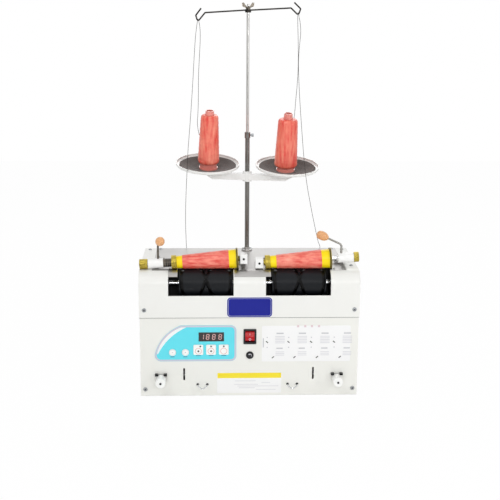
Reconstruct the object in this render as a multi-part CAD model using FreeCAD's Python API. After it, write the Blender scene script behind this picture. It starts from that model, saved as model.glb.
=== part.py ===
import FreeCAD, Part
import math
import os

# Yarn cone winder with two winding heads and a thread stand, in millimetres.
# Frame: +X to the operator's right, +Y to the back, +Z up.
# Origin: on the underside of the chassis floor, at the middle of the body.

V = FreeCAD.Vector
X_AXIS = V(1, 0, 0)
Y_AXIS = V(0, 1, 0)
Z_AXIS = V(0, 0, 1)

# ---------------------------------------------------------------- housing
body_width = 550.0
body_depth = 288.0
body_height = 320.0
sheet = 1.5
floor_sheet = 2.0
cover_seam_height = 205.0
seam_gap = 0.3
cover_overhang = 1.6
cover_corner_radius = 35.0
chassis_wall_height = 240.0
flange_width = 16.0
floor_clearance = 1.0
front = -body_depth / 2
back = body_depth / 2
panel_face = front + 1.1
rear_face = back - 1.1
lower_half_width = body_width / 2 - cover_overhang

# ------------------------------------------------- windows and top plate
window_inner = 40.0
window_outer = 202.0
window_sill_height = 261.0
top_sheet = 1.2
top_plate_inset = 32.0
top_half_width = body_width / 2 - top_plate_inset
top_back_margin = 5.0
top_end_lip_angle = 11.5
top_middle_lip_angle = 50.5
left_opening = (-179.0, -38.0)
right_opening = (53.0, 202.0)
spindle_relief = 1.5
opening_margin = 5.0

# ------------------------------------------------------ drums and drive
drum_radius = 36.0
drum_depth = 42.0
drum_axis_drop = 35.1
drum_axis_height = body_height - drum_axis_drop
drum_length = 134.0
drum_wall = 4.0
drum_hub_radius = 12.0
drum_groove_width = 8.0
drum_groove_depth = 4.5
drum_groove_margin = 6.0
drum_groove_steepness = 0.9
drum_groove_crossing = 27.0
left_drum_x = -175.5
right_drum_x = 56.5
shaft_radius = 6.0
shaft_half_length = 236.0
bearing_radius = 14.0
bearing_width = 9.0
bearing_stations = (-212.0, 22.0, 212.0)
post_width = 44.0
post_sheet = 4.0
post_foot_length = 30.0
post_top_rise = 18.0
bearing_cup_wall = 3.0
shroud_sheet = 1.2
shroud_front_gap = 3.0
shroud_back_gap = 3.5
shroud_bottom_gap = 8.0
shroud_spans = ((-204.0, -28.0), (36.0, 204.5))
shroud_shaft_gap = 3.0
shroud_notch_half = 2.0
shroud_notch_rise = 10.0
belt_width = 8.0
belt_thickness = 2.0
belt_x = -232.0
drum_pulley_radius = 30.0
motor_pulley_radius = 15.0
motor_depth = 200.0
motor_axis_height = 62.0
motor_radius = 42.0
motor_length = 105.0
motor_shaft_radius = 5.0
running_gap = 0.05
free_gap = 0.3

# ------------------------------------------------------- winding heads
tube_small_radius = 15.2
tube_large_radius = 23.8
tube_length = 148.5
tube_wall = 2.0
yarn_thickness = 1.2
left_small_x = -181.5
right_small_x = 52.0
left_yarn = (14.5, tube_length - 18.0)
right_yarn = (15.5, tube_length - 20.0)
spindle_radius = 4.75
spigot_radius = 4.0
small_flange_radius = 18.0
small_flange_length = 12.5
plug_length = 5.0
plug_clearance = 0.45
rim_radius = 27.0
rim_length = 4.7
collar_radius = 7.0
hub_radius = 12.2
quill_radius = 10.5
quill_travel = 6.5
left_hub = (-71.5, -33.5)
right_hub = (tube_length + 22.0, tube_length + 61.0)
left_knob = (-92.5, -72.5)
right_knob = (tube_length + 62.0, tube_length + 74.0)
knob_radius = 12.0
left_block = (tube_length + 10.0, tube_length + 28.0)
right_block = (-37.0, -17.5)
block_height = 24.0
block_depth = 24.0
pivot_depth = 105.0
pivot_rise = 7.8
pivot_height = body_height + pivot_rise
pivot_radius = 4.0
pivot_boss_radius = 5.8
arm_thickness = 8.0
arm_width = 14.0
arm_root_setback = 4.0
pivot_rod_reach = 2.0
cradle_washer_radius = 8.0
cradle_washer_length = 2.0
counterbore_reach = 16.0
lever_hole_depth = 1.6
lever_seat_depth = 1.4
left_lever_offset = 6.0
right_lever_offset = -11.0
bracket_width = 12.0
bracket_depth = 18.0
bracket_height = 15.0

# --------------------------------------------------------------- levers
lever_radius = 2.6
lever_bend_radius = 9.0
lever_bend_rise = 62.0
lever_bend_height = body_height + lever_bend_rise
lever_reach = 35.0
left_lever_rise = 13.0
right_lever_rise = 16.0
left_lever_heading = (0.16, -0.987)
right_lever_heading = (-1.0, 0.0)
lever_knob_length = 31.0
lever_knob_radius = 11.0

# -------------------------------------------------------- control panel
overlay_thickness = 1.2
overlay_left = -238.0
overlay_right = -33.0
overlay_bottom = 92.0
overlay_top = 185.0
overlay_corner = 14.0
display_box = (-127.0, -64.0, 144.0, 167.0)
round_button_radius = 8.7
round_button_places = ((-192.7, 115.3), (-160.4, 115.3))
square_button_width = 24.5
square_button_height = 26.0
square_button_places = ((-128.0, 122.0), (-96.2, 122.0), (-64.4, 122.0))
button_proud = 1.2
button_length = 8.5
board_thickness = 1.6
board_setback = 14.0
board_post_radius = 3.0
board_margins = (10.0, 5.0, 4.0, 4.0)
board_post_margins = (16.0, 9.0, 8.0, 8.0)
key_switch_height = 5.0
overlay_cutout_low = (-206.0, -46.0, 102.0, 150.0)
overlay_cutout_high = (-168.0, -46.0, 149.0, 174.0)

# --------------------------------------------- switch, fuse and labels
rocker_box = (-15.0, 17.0, 136.0, 175.0)
rocker_key_width = 23.0
rocker_radius = 14.6
rocker_setback = 9.0
fuse_place = (1.0, 107.0)
fuse_flange_radius = 9.5
fuse_cap_radius = 6.4
badge_box = (-56.0, 56.0, 206.5, 257.0)
badge_corner = 9.0
chart_side_margin = 21.0
chart_box = (31.0, body_width / 2 - chart_side_margin, 90.0, 183.0)
notice_box = (-81.0, 81.0, 7.0, 61.0)
label_thickness = 0.8
label_corner = 3.0

# ------------------------------------------------ lower yarn fittings
tension_places = ((-222.0, 45.5), (221.0, 45.5))
tension_radius = 12.5
tension_length = 34.0
slot_width = 4.6
slot_places = ((-164.0, 42.0, 73.0), (161.0, 43.0, 74.0))
stop_lever_setback = 18.0
stop_lever_proud = 5.0
stop_pin_radius = 1.5
guide_wire_radius = 1.3
guide_wire_places = ((-118.0, 30.0), (109.0, 30.0))
guide_wire_half_width = 12.0

# --------------------------------------------------------- thread stand
pole_x = 1.0
pole_depth = 256.0
stand_base_radius = 22.0
stand_base_height = 7.0
lower_tube_radius = 6.0
lower_tube_top = 641.0
rod_radius = 4.0
rod_bottom = 485.0
guide_bar_height = 955.0
rod_top_rise = 7.0
rod_top = guide_bar_height + rod_top_rise
rod_shank_drop = 6.0
rod_neck_radius = 2.8
guide_bar_radius = 2.0
guide_hook_bend = 3.6
guide_hub_radius = 8.0
guide_hub_height = 6.0
guide_hub_reach = 6.0
left_guide_hook = ((-110.0, 0.0, -7.0), (-129.0, 0.0, -30.0), (-134.0, -1.0, -14.0),
                   (-120.0, -3.0, 4.0))
right_guide_hook = ((112.0, 0.0, 6.0), (131.0, 0.0, -12.0), (137.0, -1.0, 4.0),
                    (120.0, -3.0, 20.0))
wing_nut_radius = 6.0
wing_nut_height = 7.0
wing_sheet = 2.8
wing_outline = ((3.0, 2.0), (15.0, 7.0), (16.0, 16.0), (11.0, 17.0), (4.0, 7.0))
arm_height = 531.0
arm_channel_depth = 17.0
arm_channel_width = 22.0
arm_sheet = 2.0
arm_top_reach = (-118.0, 132.0)
arm_bottom_reach = (-92.0, 102.0)
arm_roll = 1.6
plate_offset = 106.0
plate_radius = 84.0
plate_sheet = 1.6
plate_rim = 9.0
plate_tilt = 10.5
plate_lift = 17.5
plate_drop = 11.0
plate_flat_radius = 32.0
plate_slope_radius = 76.0
pad_radius = 74.5
pad_thickness = 4.5
peg_radius = 5.0
peg_length = 60.0
supply_bottom_radius = 23.0
supply_top_radius = 11.0
supply_wall = 1.8
supply_foot_height = 4.0
supply_lengths = (157.0, 156.0)
supply_yarn_spans = ((15.0, 146.0), (11.0, 141.0))
supply_yarn_radii = ((28.5, 22.5), (30.5, 25.5))
supply_shift = ((2.0, -6.0), (-5.0, -5.0))

# ------------------------------------------------------------- threads
thread_diameter = 1.2
eyelet_radius = 5.0
eyelet_bore = 1.3
eyelet_places = (-163.0, 204.0)
eyelet_drop = 20.0
eyelet_height = body_height - eyelet_drop
eyelet_standoff = 8.0
thread_radius = thread_diameter / 2
route_bottom = 300.0
route_top = 955.0

# ------------------------------------------------------------ fasteners
screw_radius = 2.0
screw_head_radius = 4.6
screw_head_height = 2.6
screw_length = 7.0
screw_clearance = 0.1
base_bolt_radius = 2.75
base_bolt_insets = (35.0, 29.0)
base_bolt_spacing = (body_width - 2 * base_bolt_insets[0], body_depth - 2 * base_bolt_insets[1])

drum_y = front + drum_depth
pivot_y = front + pivot_depth
pole_y = front + pole_depth
motor_y = front + motor_depth
taper = math.atan((tube_large_radius - tube_small_radius) / tube_length)
yarn_lift = (tube_small_radius + yarn_thickness) * math.cos(taper)
head_height = drum_axis_height + drum_radius + free_gap + yarn_lift
head_direction = V(math.cos(taper), 0, math.sin(taper))
plate_top = body_height + top_sheet


# ================================================================ helpers
def box(x0, x1, y0, y1, z0, z1):
    """A block between two corners."""
    return Part.makeBox(x1 - x0, y1 - y0, z1 - z0, V(x0, y0, z0))


def rod(start, direction, radius, length):
    """A round bar from a point along a direction."""
    return Part.makeCylinder(radius, length, start, direction)


def ring(start, direction, outer, inner, length):
    """A round tube from a point along a direction."""
    return rod(start, direction, outer, length).cut(rod(start, direction, inner, length))


def prism_x(outline, x0, x1):
    """A straight-sided outline of (y, z) points, drawn out along X."""
    points = [V(x0, y, z) for y, z in outline]
    face = Part.Face(Part.makePolygon(points + [points[0]]))
    return face.extrude(V(x1 - x0, 0, 0))


def prism_y(outline, y0, y1):
    """A straight-sided outline of (x, z) points, drawn out along Y."""
    points = [V(x, y0, z) for x, z in outline]
    face = Part.Face(Part.makePolygon(points + [points[0]]))
    return face.extrude(V(0, y1 - y0, 0))


def rounded_plate(x0, x1, z0, z1, corner, y0, y1):
    """An upright plate with four round corners."""
    plate = box(x0, x1, y0, y1, z0, z1)
    upright = [e for e in plate.Edges if abs(e.tangentAt(e.FirstParameter).y) > 0.9]
    return plate.makeFillet(corner, upright)


def bent_path(points, bend_radius):
    """Straight runs joined by tangent arcs; bend_radius takes both runs and the turn."""
    edges = []
    start = points[0]
    for before, corner, after in zip(points, points[1:], points[2:]):
        arriving = before.sub(corner)
        leaving = after.sub(corner)
        turn = math.pi - arriving.getAngle(leaving)
        radius = bend_radius(arriving.Length, leaving.Length, turn)
        setback = radius * math.tan(turn / 2)
        arriving.normalize()
        leaving.normalize()
        inward = arriving.add(leaving)
        inward.normalize()
        arc_start = corner.add(arriving.multiply(setback))
        arc_end = corner.add(leaving.multiply(setback))
        arc_middle = corner.add(inward.multiply(radius / math.cos(turn / 2) - radius))
        edges.append(Part.LineSegment(start, arc_start).toShape())
        edges.append(Part.Arc(arc_start, arc_middle, arc_end).toShape())
        start = arc_end
    edges.append(Part.LineSegment(start, points[-1]).toShape())
    return Part.Wire(edges)


def wire_along(path, radius):
    """A round wire that follows a path."""
    first = path.Edges[0]
    begin = first.valueAt(first.FirstParameter)
    direction = first.tangentAt(first.FirstParameter)
    section = Part.Wire([Part.makeCircle(radius, begin, direction)])
    return path.makePipeShell([section], True, False)


def bent_wire(points, radius, bend):
    """A wire bent to one radius at each corner."""
    return wire_along(bent_path(points, lambda run_in, run_out, turn: bend), radius)


def fuse_all(shapes):
    """Join solids into one."""
    return shapes[0].multiFuse(shapes[1:]).removeSplitter()


def head_point(small_x, along):
    """A point on a head's spindle axis, along from the small end of its tube."""
    start = V(small_x, drum_y, head_height)
    return start.add(V(head_direction).multiply(along))


def head_rod(small_x, span, radius):
    """A round bar on a head's spindle axis, between two places along it."""
    return rod(head_point(small_x, span[0]), head_direction, radius, span[1] - span[0])


def head_cone(small_x, span, first_radius, last_radius):
    """A cone on a head's spindle axis, between two places along it."""
    start = head_point(small_x, span[0])
    return Part.makeCone(first_radius, last_radius, span[1] - span[0], start, head_direction)


def tube_radius_at(along):
    """The outer radius of a yarn tube at a place along its axis."""
    return tube_small_radius + along * math.tan(taper)


def screw(place, outward):
    """A pan-head screw whose head sits on place and whose shank goes the other way."""
    inward = V(outward).multiply(-1)
    head = Part.makeCone(
        screw_head_radius, screw_head_radius * 0.72, screw_head_height, place, outward
    )
    return head.fuse(rod(place, inward, screw_radius, screw_length)).removeSplitter()


def screw_hole(place, outward):
    """The clearance hole of such a screw."""
    inward = V(outward).multiply(-1)
    start = place.add(V(outward).multiply(screw_head_height))
    return rod(start, inward, screw_radius + screw_clearance, screw_length + 2 * screw_head_height)


# ======================================================= places of screws
side_screw_inset = 13.0
front_screw_x = body_width / 2 - side_screw_inset
cover_screw_height = 225.0
panel_screw_height = 18.0
top_screw_inset = 14.0
top_screw_x = body_width / 2 - top_screw_inset
top_screw_depths = (76.0, 268.0)
plate_screw_inset = 11.0
plate_screw_x = top_half_width - plate_screw_inset
plate_screw_depths = (172.0, 272.0)
rear_screw_x = front_screw_x
stand_screw_reach = 14.5


def cover_screw_places():
    """Screws that hold the upper cover to the chassis flanges, front and back."""
    places = []
    for side in (-1, 1):
        places.append((V(side * front_screw_x, front, cover_screw_height), V(0, -1, 0)))
        places.append((V(side * rear_screw_x, back, cover_screw_height), V(0, 1, 0)))
    for side in (-1, 1):
        for depth in top_screw_depths:
            places.append((V(side * top_screw_x, front + depth, body_height), V(0, 0, 1)))
    return places


def panel_screw_places():
    """Screws that hold the front and rear panels to the chassis flanges."""
    places = []
    for side in (-1, 1):
        places.append((V(side * front_screw_x, panel_face, panel_screw_height), V(0, -1, 0)))
        places.append((V(side * rear_screw_x, rear_face, panel_screw_height), V(0, 1, 0)))
    return places


def plate_screw_places():
    """Screws that hold the steel top plate to the cover."""
    places = []
    for side in (-1, 1):
        for depth in plate_screw_depths:
            places.append((V(side * plate_screw_x, front + depth, plate_top), V(0, 0, 1)))
    return places


def stand_screw_places():
    """The two screws of the stand's base flange."""
    height = plate_top + stand_base_height
    places = []
    for side in (-1, 1):
        places.append((V(pole_x + side * stand_screw_reach, pole_y, height), V(0, 0, 1)))
    return places


def drill(shape, places):
    """Cut the clearance holes of screws into a shape."""
    for place, outward in places:
        shape = shape.cut(screw_hole(place, outward))
    return shape


# ================================================================ housing
def make_chassis():
    """Floor and two side walls of folded sheet, with flanges for the panels."""
    wall_front = panel_face + sheet
    wall_back = rear_face - sheet
    pieces = [box(-lower_half_width, lower_half_width, wall_front, wall_back, 0, floor_sheet)]
    for side in (-1, 1):
        outer = side * lower_half_width
        inner = side * (lower_half_width - sheet)
        edge = side * (lower_half_width - sheet - flange_width)
        low, high = min(outer, inner), max(outer, inner)
        pieces.append(box(low, high, wall_front, wall_back, 0, chassis_wall_height))
        low, high = min(edge, inner), max(edge, inner)
        pieces.append(box(low, high, wall_front, wall_front + sheet, 0, chassis_wall_height))
        pieces.append(box(low, high, wall_back - sheet, wall_back, 0, chassis_wall_height))
    chassis = fuse_all(pieces)
    for x in (-base_bolt_spacing[0] / 2, base_bolt_spacing[0] / 2):
        for y in (-base_bolt_spacing[1] / 2, base_bolt_spacing[1] / 2):
            chassis = chassis.cut(rod(V(x, y, -1), Z_AXIS, base_bolt_radius, floor_sheet + 2))
    sides = [p for p in cover_screw_places() if abs(p[1].y) > 0.5]
    return drill(chassis, sides + panel_screw_places())


def cover_block(inset):
    """The cover's outer form, made smaller by inset on every side but the bottom."""
    half_width = body_width / 2 - inset
    y_front = front + inset
    y_back = back - inset
    top = body_height - inset
    bottom = cover_seam_height - (1.0 if inset else 0.0)
    block = box(-half_width, half_width, y_front, y_back, bottom, top)
    corner = [
        e
        for e in block.Edges
        if abs(e.tangentAt(e.FirstParameter).x) > 0.9
        and e.CenterOfMass.y < 0
        and e.CenterOfMass.z > top - 1
    ]
    return block.makeFillet(cover_corner_radius - inset, corner)


def make_upper_cover():
    """The folded hood with its two drum windows."""
    cover = cover_block(0).cut(cover_block(sheet))
    front_reach = cover_corner_radius + 1
    opening_back = front + drum_depth + drum_radius + opening_margin
    for low, high, opening in (
        (-window_outer, -window_inner, left_opening),
        (window_inner, window_outer, right_opening),
    ):
        cover = cover.cut(
            box(low, high, front - 1, front + front_reach, window_sill_height, body_height + 1)
        )
        cover = cover.cut(
            box(opening[0] - 1, opening[1] + 1, front + front_reach - 1, opening_back + 1,
                body_height - 2 * sheet, body_height + 1)
        )
    cover = cover.cut(spindle_reliefs())
    cover = max(cover.Solids, key=lambda solid: solid.Volume)
    return drill(cover, cover_screw_places() + plate_screw_places())


def make_top_plate():
    """The brushed steel plate on top, open over the drums, with a lip over the front corner."""
    flat_front = front + cover_corner_radius
    flat_back = back - top_back_margin
    opening_back = front + drum_depth + drum_radius + opening_margin
    plate = box(-top_half_width, top_half_width, flat_front, flat_back, body_height, plate_top)
    for low, high in (left_opening, right_opening):
        plate = plate.cut(
            box(low, high, flat_front - 1, opening_back, body_height - 1, plate_top + 1)
        )
    lips = [plate]
    for low, high, angle in (
        (-top_half_width, -window_outer, top_end_lip_angle),
        (-window_outer, left_opening[0], top_middle_lip_angle),
        (left_opening[1], right_opening[0], top_middle_lip_angle),
        (right_opening[1], top_half_width, top_end_lip_angle),
    ):
        edge = Part.makePolygon(
            [
                V(low, flat_front, body_height),
                V(high, flat_front, body_height),
                V(high, flat_front, plate_top),
                V(low, flat_front, plate_top),
                V(low, flat_front, body_height),
            ]
        )
        centre = V(0, flat_front, body_height - cover_corner_radius)
        lips.append(Part.Face(edge).revolve(centre, X_AXIS, angle))
    plate = fuse_all(lips).cut(spindle_reliefs())
    return drill(plate, plate_screw_places())


def spindle_reliefs():
    """Round reliefs in the top for the flanges of both heads, over their whole travel."""
    reliefs = []
    for small_x, left_travel, right_travel in (
        (left_small_x, quill_travel, 0.0),
        (right_small_x, 0.0, quill_travel),
    ):
        small_span = (-small_flange_length - left_travel - spindle_relief, 1.0)
        large_span = (tube_length - 1.0, tube_length + rim_length + right_travel + spindle_relief)
        reliefs.append(head_rod(small_x, small_span, small_flange_radius + spindle_relief))
        reliefs.append(head_rod(small_x, large_span, rim_radius + spindle_relief))
    return Part.makeCompound(reliefs)


def make_front_panel():
    """The lower front panel, with the cut-outs of everything that is fitted to it."""
    top = cover_seam_height - seam_gap
    y_back = panel_face + sheet
    panel = box(-lower_half_width, lower_half_width, panel_face, y_back, floor_clearance, top)
    cut = []
    for x0, x1, z0, z1 in (overlay_cutout_low, overlay_cutout_high):
        cut.append(box(x0, x1, panel_face - 1, y_back + 1, z0, z1))
    bezel_wall = 2.0
    cut.append(
        box(rocker_box[0] + bezel_wall, rocker_box[1] - bezel_wall, panel_face - 1, y_back + 1,
            rocker_box[2] + bezel_wall, rocker_box[3] - bezel_wall)
    )
    cut.append(rod(V(fuse_place[0], panel_face - 1, fuse_place[1]), Y_AXIS, 7.6, sheet + 2))
    for x, low, high in slot_places:
        half = slot_width / 2
        cut.append(box(x - half, x + half, panel_face - 1, y_back + 1, low, high))
    for x, z in tension_places:
        cut.append(rod(V(x, panel_face - 1, z), Y_AXIS, spigot_radius + screw_clearance, sheet + 2))
    for x, z in guide_wire_places:
        for side in (-guide_wire_half_width, guide_wire_half_width):
            hole = rod(V(x + side, panel_face - 1, z), Y_AXIS, guide_wire_radius + 0.1, sheet + 2)
            cut.append(hole)
    panel = panel.cut(Part.makeCompound(cut))
    ear_pieces = [panel]
    for x, low, high in slot_places:
        middle = (low + high) / 2
        for side in (-1, 1):
            ear_x = x + side * (slot_width / 2 + 3.0)
            ear = box(ear_x - 1, ear_x + 1, y_back - 0.2, panel_face + stop_lever_setback + 5,
                      middle - 6, middle + 6)
            pin_hole = rod(
                V(ear_x - 2, panel_face + stop_lever_setback, middle), X_AXIS,
                stop_pin_radius + running_gap, 4
            )
            ear_pieces.append(ear.cut(pin_hole))
    return drill(fuse_all(ear_pieces), panel_screw_places())


def make_rear_panel():
    """The rear panel, with two rows of vents and the mains inlet's cut-out."""
    top = cover_seam_height - seam_gap
    y_front = rear_face - sheet
    panel = box(-lower_half_width, lower_half_width, y_front, rear_face, floor_clearance, top)
    cut = []
    vent_pitch = 14.0
    vent_width = 5.0
    vent_count = 9
    for row in (60.0, 125.0):
        for i in range(vent_count):
            x = -200 + i * vent_pitch
            cut.append(box(x, x + vent_width, y_front - 1, rear_face + 1, row, row + 45))
    inlet_x = 190.0
    inlet_z = 60.0
    cut.append(box(inlet_x - 13.6, inlet_x + 13.6, y_front - 1, rear_face + 1,
                   inlet_z - 9.9, inlet_z + 9.9))
    return drill(panel.cut(Part.makeCompound(cut)), panel_screw_places())


def make_mains_inlet():
    """The three-pin inlet socket in the rear panel."""
    inlet_x = 190.0
    inlet_z = 60.0
    flange = rounded_plate(inlet_x - 25, inlet_x + 25, inlet_z - 12.5, inlet_z + 12.5, 3,
                           rear_face, rear_face + 2.5)
    shell = box(inlet_x - 13.5, inlet_x + 13.5, rear_face - 20, rear_face + 2.4,
                inlet_z - 9.8, inlet_z + 9.8)
    socket = box(inlet_x - 11, inlet_x + 11, rear_face - 15, rear_face + 3,
                 inlet_z - 7.5, inlet_z + 7.5)
    body = flange.fuse(shell).cut(socket)
    pins = [body]
    for x, z in ((-7, -2.5), (0, 2.5), (7, -2.5)):
        pins.append(box(inlet_x + x - 1, inlet_x + x + 1, rear_face - 16, rear_face - 3,
                        inlet_z + z - 2, inlet_z + z + 2))
    return fuse_all(pins)


def make_drum_shroud():
    """A folded tray behind and below each drum that keeps lint out of the drive."""
    shrouds = []
    y_front = front + shroud_front_gap
    y_back = front + drum_depth + drum_radius + shroud_back_gap
    bottom = drum_axis_height - drum_radius - shroud_bottom_gap
    top = body_height - sheet
    for low, high in shroud_spans:
        outer = box(low, high, y_front, y_back, bottom, top)
        inner = box(low + shroud_sheet, high - shroud_sheet, y_front - 1, y_back - shroud_sheet,
                    bottom + shroud_sheet, top + 1)
        tray = outer.cut(inner)
        tray = tray.cut(rod(V(low - 1, drum_y, drum_axis_height), X_AXIS,
                            shaft_radius + shroud_shaft_gap, high - low + 2))
        for edge in (low, high):
            tray = tray.cut(box(edge - shroud_notch_half, edge + shroud_notch_half, y_front - 1,
                                front + cover_corner_radius + shroud_notch_half,
                                window_sill_height + shroud_notch_rise, top + 1))
        shrouds.append(tray)
    return Part.makeCompound(shrouds)


# ============================================================ drum drive
def groove_path(start_x, first_turn, last_turn):
    """A stretch of the one groove that winds four turns round a drum and closes on itself.

    It crosses itself at the middle of the drum's front and turns back at both ends there.
    """
    middle = start_x + drum_length / 2
    reach = drum_length / 2 - drum_groove_margin
    steps = 40
    points = []
    for i in range(steps + 1):
        angle = 2 * math.pi * (first_turn + (last_turn - first_turn) * i / steps)
        share = math.asin(drum_groove_steepness * math.sin(angle / 4))
        along = reach * share / math.asin(drum_groove_steepness)
        height = angle + math.radians(drum_groove_crossing)
        points.append(V(middle + along, drum_y - drum_radius * math.cos(height),
                        drum_axis_height + drum_radius * math.sin(height)))
    curve = Part.BSplineCurve()
    curve.interpolate(points)
    return Part.Wire([curve.toShape()])


def groove_cutter(start_x, first_turn, last_turn):
    """The strip that cuts one stretch of a drum's groove."""
    path = groove_path(start_x, first_turn, last_turn)
    first = path.Edges[0]
    begin = first.valueAt(first.FirstParameter)
    tangent = first.tangentAt(first.FirstParameter)
    outward = begin.sub(V(begin.x, drum_y, drum_axis_height))
    outward.normalize()
    across = tangent.cross(outward)
    across.normalize()
    half = V(across).multiply(drum_groove_width / 2)
    above = V(outward).multiply(1.0)
    below = V(outward).multiply(-drum_groove_depth)
    corners = [
        begin.add(half).add(above),
        begin.sub(half).add(above),
        begin.sub(half).add(below),
        begin.add(half).add(below),
    ]
    section = Part.makePolygon(corners + [corners[0]])
    return path.makePipeShell([section], True, True)


def make_drum(start_x):
    """A hollow drum with one groove that crosses itself, webs and a hub on the shaft."""
    start = V(start_x, drum_y, drum_axis_height)
    shell = ring(start, X_AXIS, drum_radius, drum_radius - drum_wall - drum_groove_depth,
                 drum_length)
    hub = ring(start, X_AXIS, drum_hub_radius, shaft_radius + 0.02, drum_length)
    web_length = 5.0
    pieces = [shell, hub]
    for x in (start_x, start_x + drum_length - web_length):
        pieces.append(ring(V(x, drum_y, drum_axis_height), X_AXIS,
                           drum_radius - drum_wall - 1, drum_hub_radius - 1, web_length))
    drum = fuse_all(pieces)
    overlap = 0.02
    for turn in range(4):
        drum = drum.cut(groove_cutter(start_x, turn - overlap, turn + 1 + overlap))
    return drum


def make_drum_shaft():
    """The long shaft of both drums with the belt pulley on its left end."""
    start = V(-shaft_half_length, drum_y, drum_axis_height)
    shaft = rod(start, X_AXIS, shaft_radius, 2 * shaft_half_length)
    pulley = rod(V(belt_x, drum_y, drum_axis_height), X_AXIS, drum_pulley_radius, belt_width)
    flange_radius = drum_pulley_radius + 3.5
    pieces = [shaft, pulley]
    for x in (belt_x - 2.0, belt_x + belt_width + 0.5):
        pieces.append(rod(V(x, drum_y, drum_axis_height), X_AXIS, flange_radius, 1.5))
    core = rod(V(belt_x - 1, drum_y, drum_axis_height), X_AXIS, drum_pulley_radius,
               belt_width + 2)
    return fuse_all(pieces + [core])


def make_drum_bearings():
    """Three ball bearings on the shaft, one in each post."""
    bearings = []
    for x in bearing_stations:
        start = V(x - bearing_width / 2, drum_y, drum_axis_height)
        bearings.append(ring(start, X_AXIS, bearing_radius, shaft_radius + running_gap,
                             bearing_width))
    return Part.makeCompound(bearings)


def make_bearing_posts():
    """Three folded posts that stand on the floor and carry the bearings."""
    posts = []
    for x in bearing_stations:
        y0 = drum_y - post_width / 2
        y1 = drum_y + post_width / 2
        web = box(x - post_sheet / 2, x + post_sheet / 2, y0, y1, floor_sheet,
                  drum_axis_height + post_top_rise)
        foot = box(x - post_sheet / 2, x + post_foot_length, y0, y1, floor_sheet,
                   floor_sheet + post_sheet)
        cup = rod(V(x - bearing_width / 2, drum_y, drum_axis_height), X_AXIS,
                  bearing_radius + bearing_cup_wall, bearing_width)
        post = fuse_all([web, foot, cup])
        seat = rod(V(x - bearing_width, drum_y, drum_axis_height), X_AXIS, bearing_radius + 0.02,
                   2 * bearing_width)
        posts.append(post.cut(seat))
    return Part.makeCompound(posts)


def belt_loop(margin, x0, x1):
    """A block with the outline of a tight loop round both pulleys, margin outside them."""
    large = drum_pulley_radius + margin
    small = motor_pulley_radius + margin
    top = V(0, drum_y, drum_axis_height)
    low = V(0, motor_y, motor_axis_height)
    line = low.sub(top)
    distance = line.Length
    line.normalize()
    side = X_AXIS.cross(line)
    lean = math.asin((large - small) / distance)
    outline = []
    for hand in (1, -1):
        normal = V(line).multiply(math.sin(lean)).add(V(side).multiply(hand * math.cos(lean)))
        near = top.add(V(normal).multiply(large))
        far = low.add(V(normal).multiply(small))
        pair = [near, far] if hand > 0 else [far, near]
        outline.extend([(p.y, p.z) for p in pair])
    web = prism_x(outline, x0, x1)
    ends = [
        rod(V(x0, drum_y, drum_axis_height), X_AXIS, large, x1 - x0),
        rod(V(x0, motor_y, motor_axis_height), X_AXIS, small, x1 - x0),
    ]
    return web.multiFuse(ends)


def make_belt():
    """The drive belt, a closed loop round both pulleys."""
    outer = belt_loop(free_gap + belt_thickness, belt_x, belt_x + belt_width)
    inner = belt_loop(free_gap, belt_x - 1, belt_x + belt_width + 1)
    return outer.cut(inner)


def make_motor():
    """The motor with its foot on the chassis floor."""
    start_x = belt_x + belt_width + 16
    body = rod(V(start_x, motor_y, motor_axis_height), X_AXIS, motor_radius, motor_length)
    foot = box(start_x + 12, start_x + motor_length - 12, motor_y - motor_radius,
               motor_y + motor_radius, floor_sheet, motor_axis_height - motor_radius + 8)
    pedestal = box(start_x + 20, start_x + motor_length - 20, motor_y - 20, motor_y + 20,
                   floor_sheet, motor_axis_height)
    motor = fuse_all([body, foot, pedestal])
    bore = rod(V(start_x - 1, motor_y, motor_axis_height), X_AXIS,
               motor_shaft_radius + running_gap, 26)
    return motor.cut(bore)


def make_motor_rotor():
    """The motor's shaft end with the small belt pulley."""
    start_x = belt_x - 1
    shaft = rod(V(start_x - 2, motor_y, motor_axis_height), X_AXIS, motor_shaft_radius, 48)
    pulley = rod(V(start_x, motor_y, motor_axis_height), X_AXIS, motor_pulley_radius,
                 belt_width + 2)
    pieces = [shaft, pulley]
    for x in (start_x - 1, start_x + belt_width + 1.5):
        pieces.append(rod(V(x, motor_y, motor_axis_height), X_AXIS, motor_pulley_radius + 3.5,
                          1.5))
    return fuse_all(pieces)


# ========================================================= winding heads
def head_arm(x0, x1, spindle_height):
    """A flat link from a spindle carrier back to the pivot rod, round at the pivot."""
    half = arm_thickness / 2
    slope = math.atan2(pivot_height - spindle_height, pivot_y - drum_y)
    rise = V(0, -math.sin(slope), math.cos(slope))
    near = V(0, drum_y + arm_root_setback, spindle_height)
    far = V(0, pivot_y, pivot_height)
    corners = [
        near.add(V(rise).multiply(half)),
        far.add(V(rise).multiply(half)),
        far.sub(V(rise).multiply(half)),
        near.sub(V(rise).multiply(half)),
    ]
    link = prism_x([(p.y, p.z) for p in corners], x0, x1)
    boss = rod(V(x0, pivot_y, pivot_height), X_AXIS, pivot_boss_radius, x1 - x0)
    return link.fuse(boss)


def spindle_height_at(small_x, x):
    """The height of a head's axis above a place on X."""
    return head_height + (x - small_x) * math.tan(taper)


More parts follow.
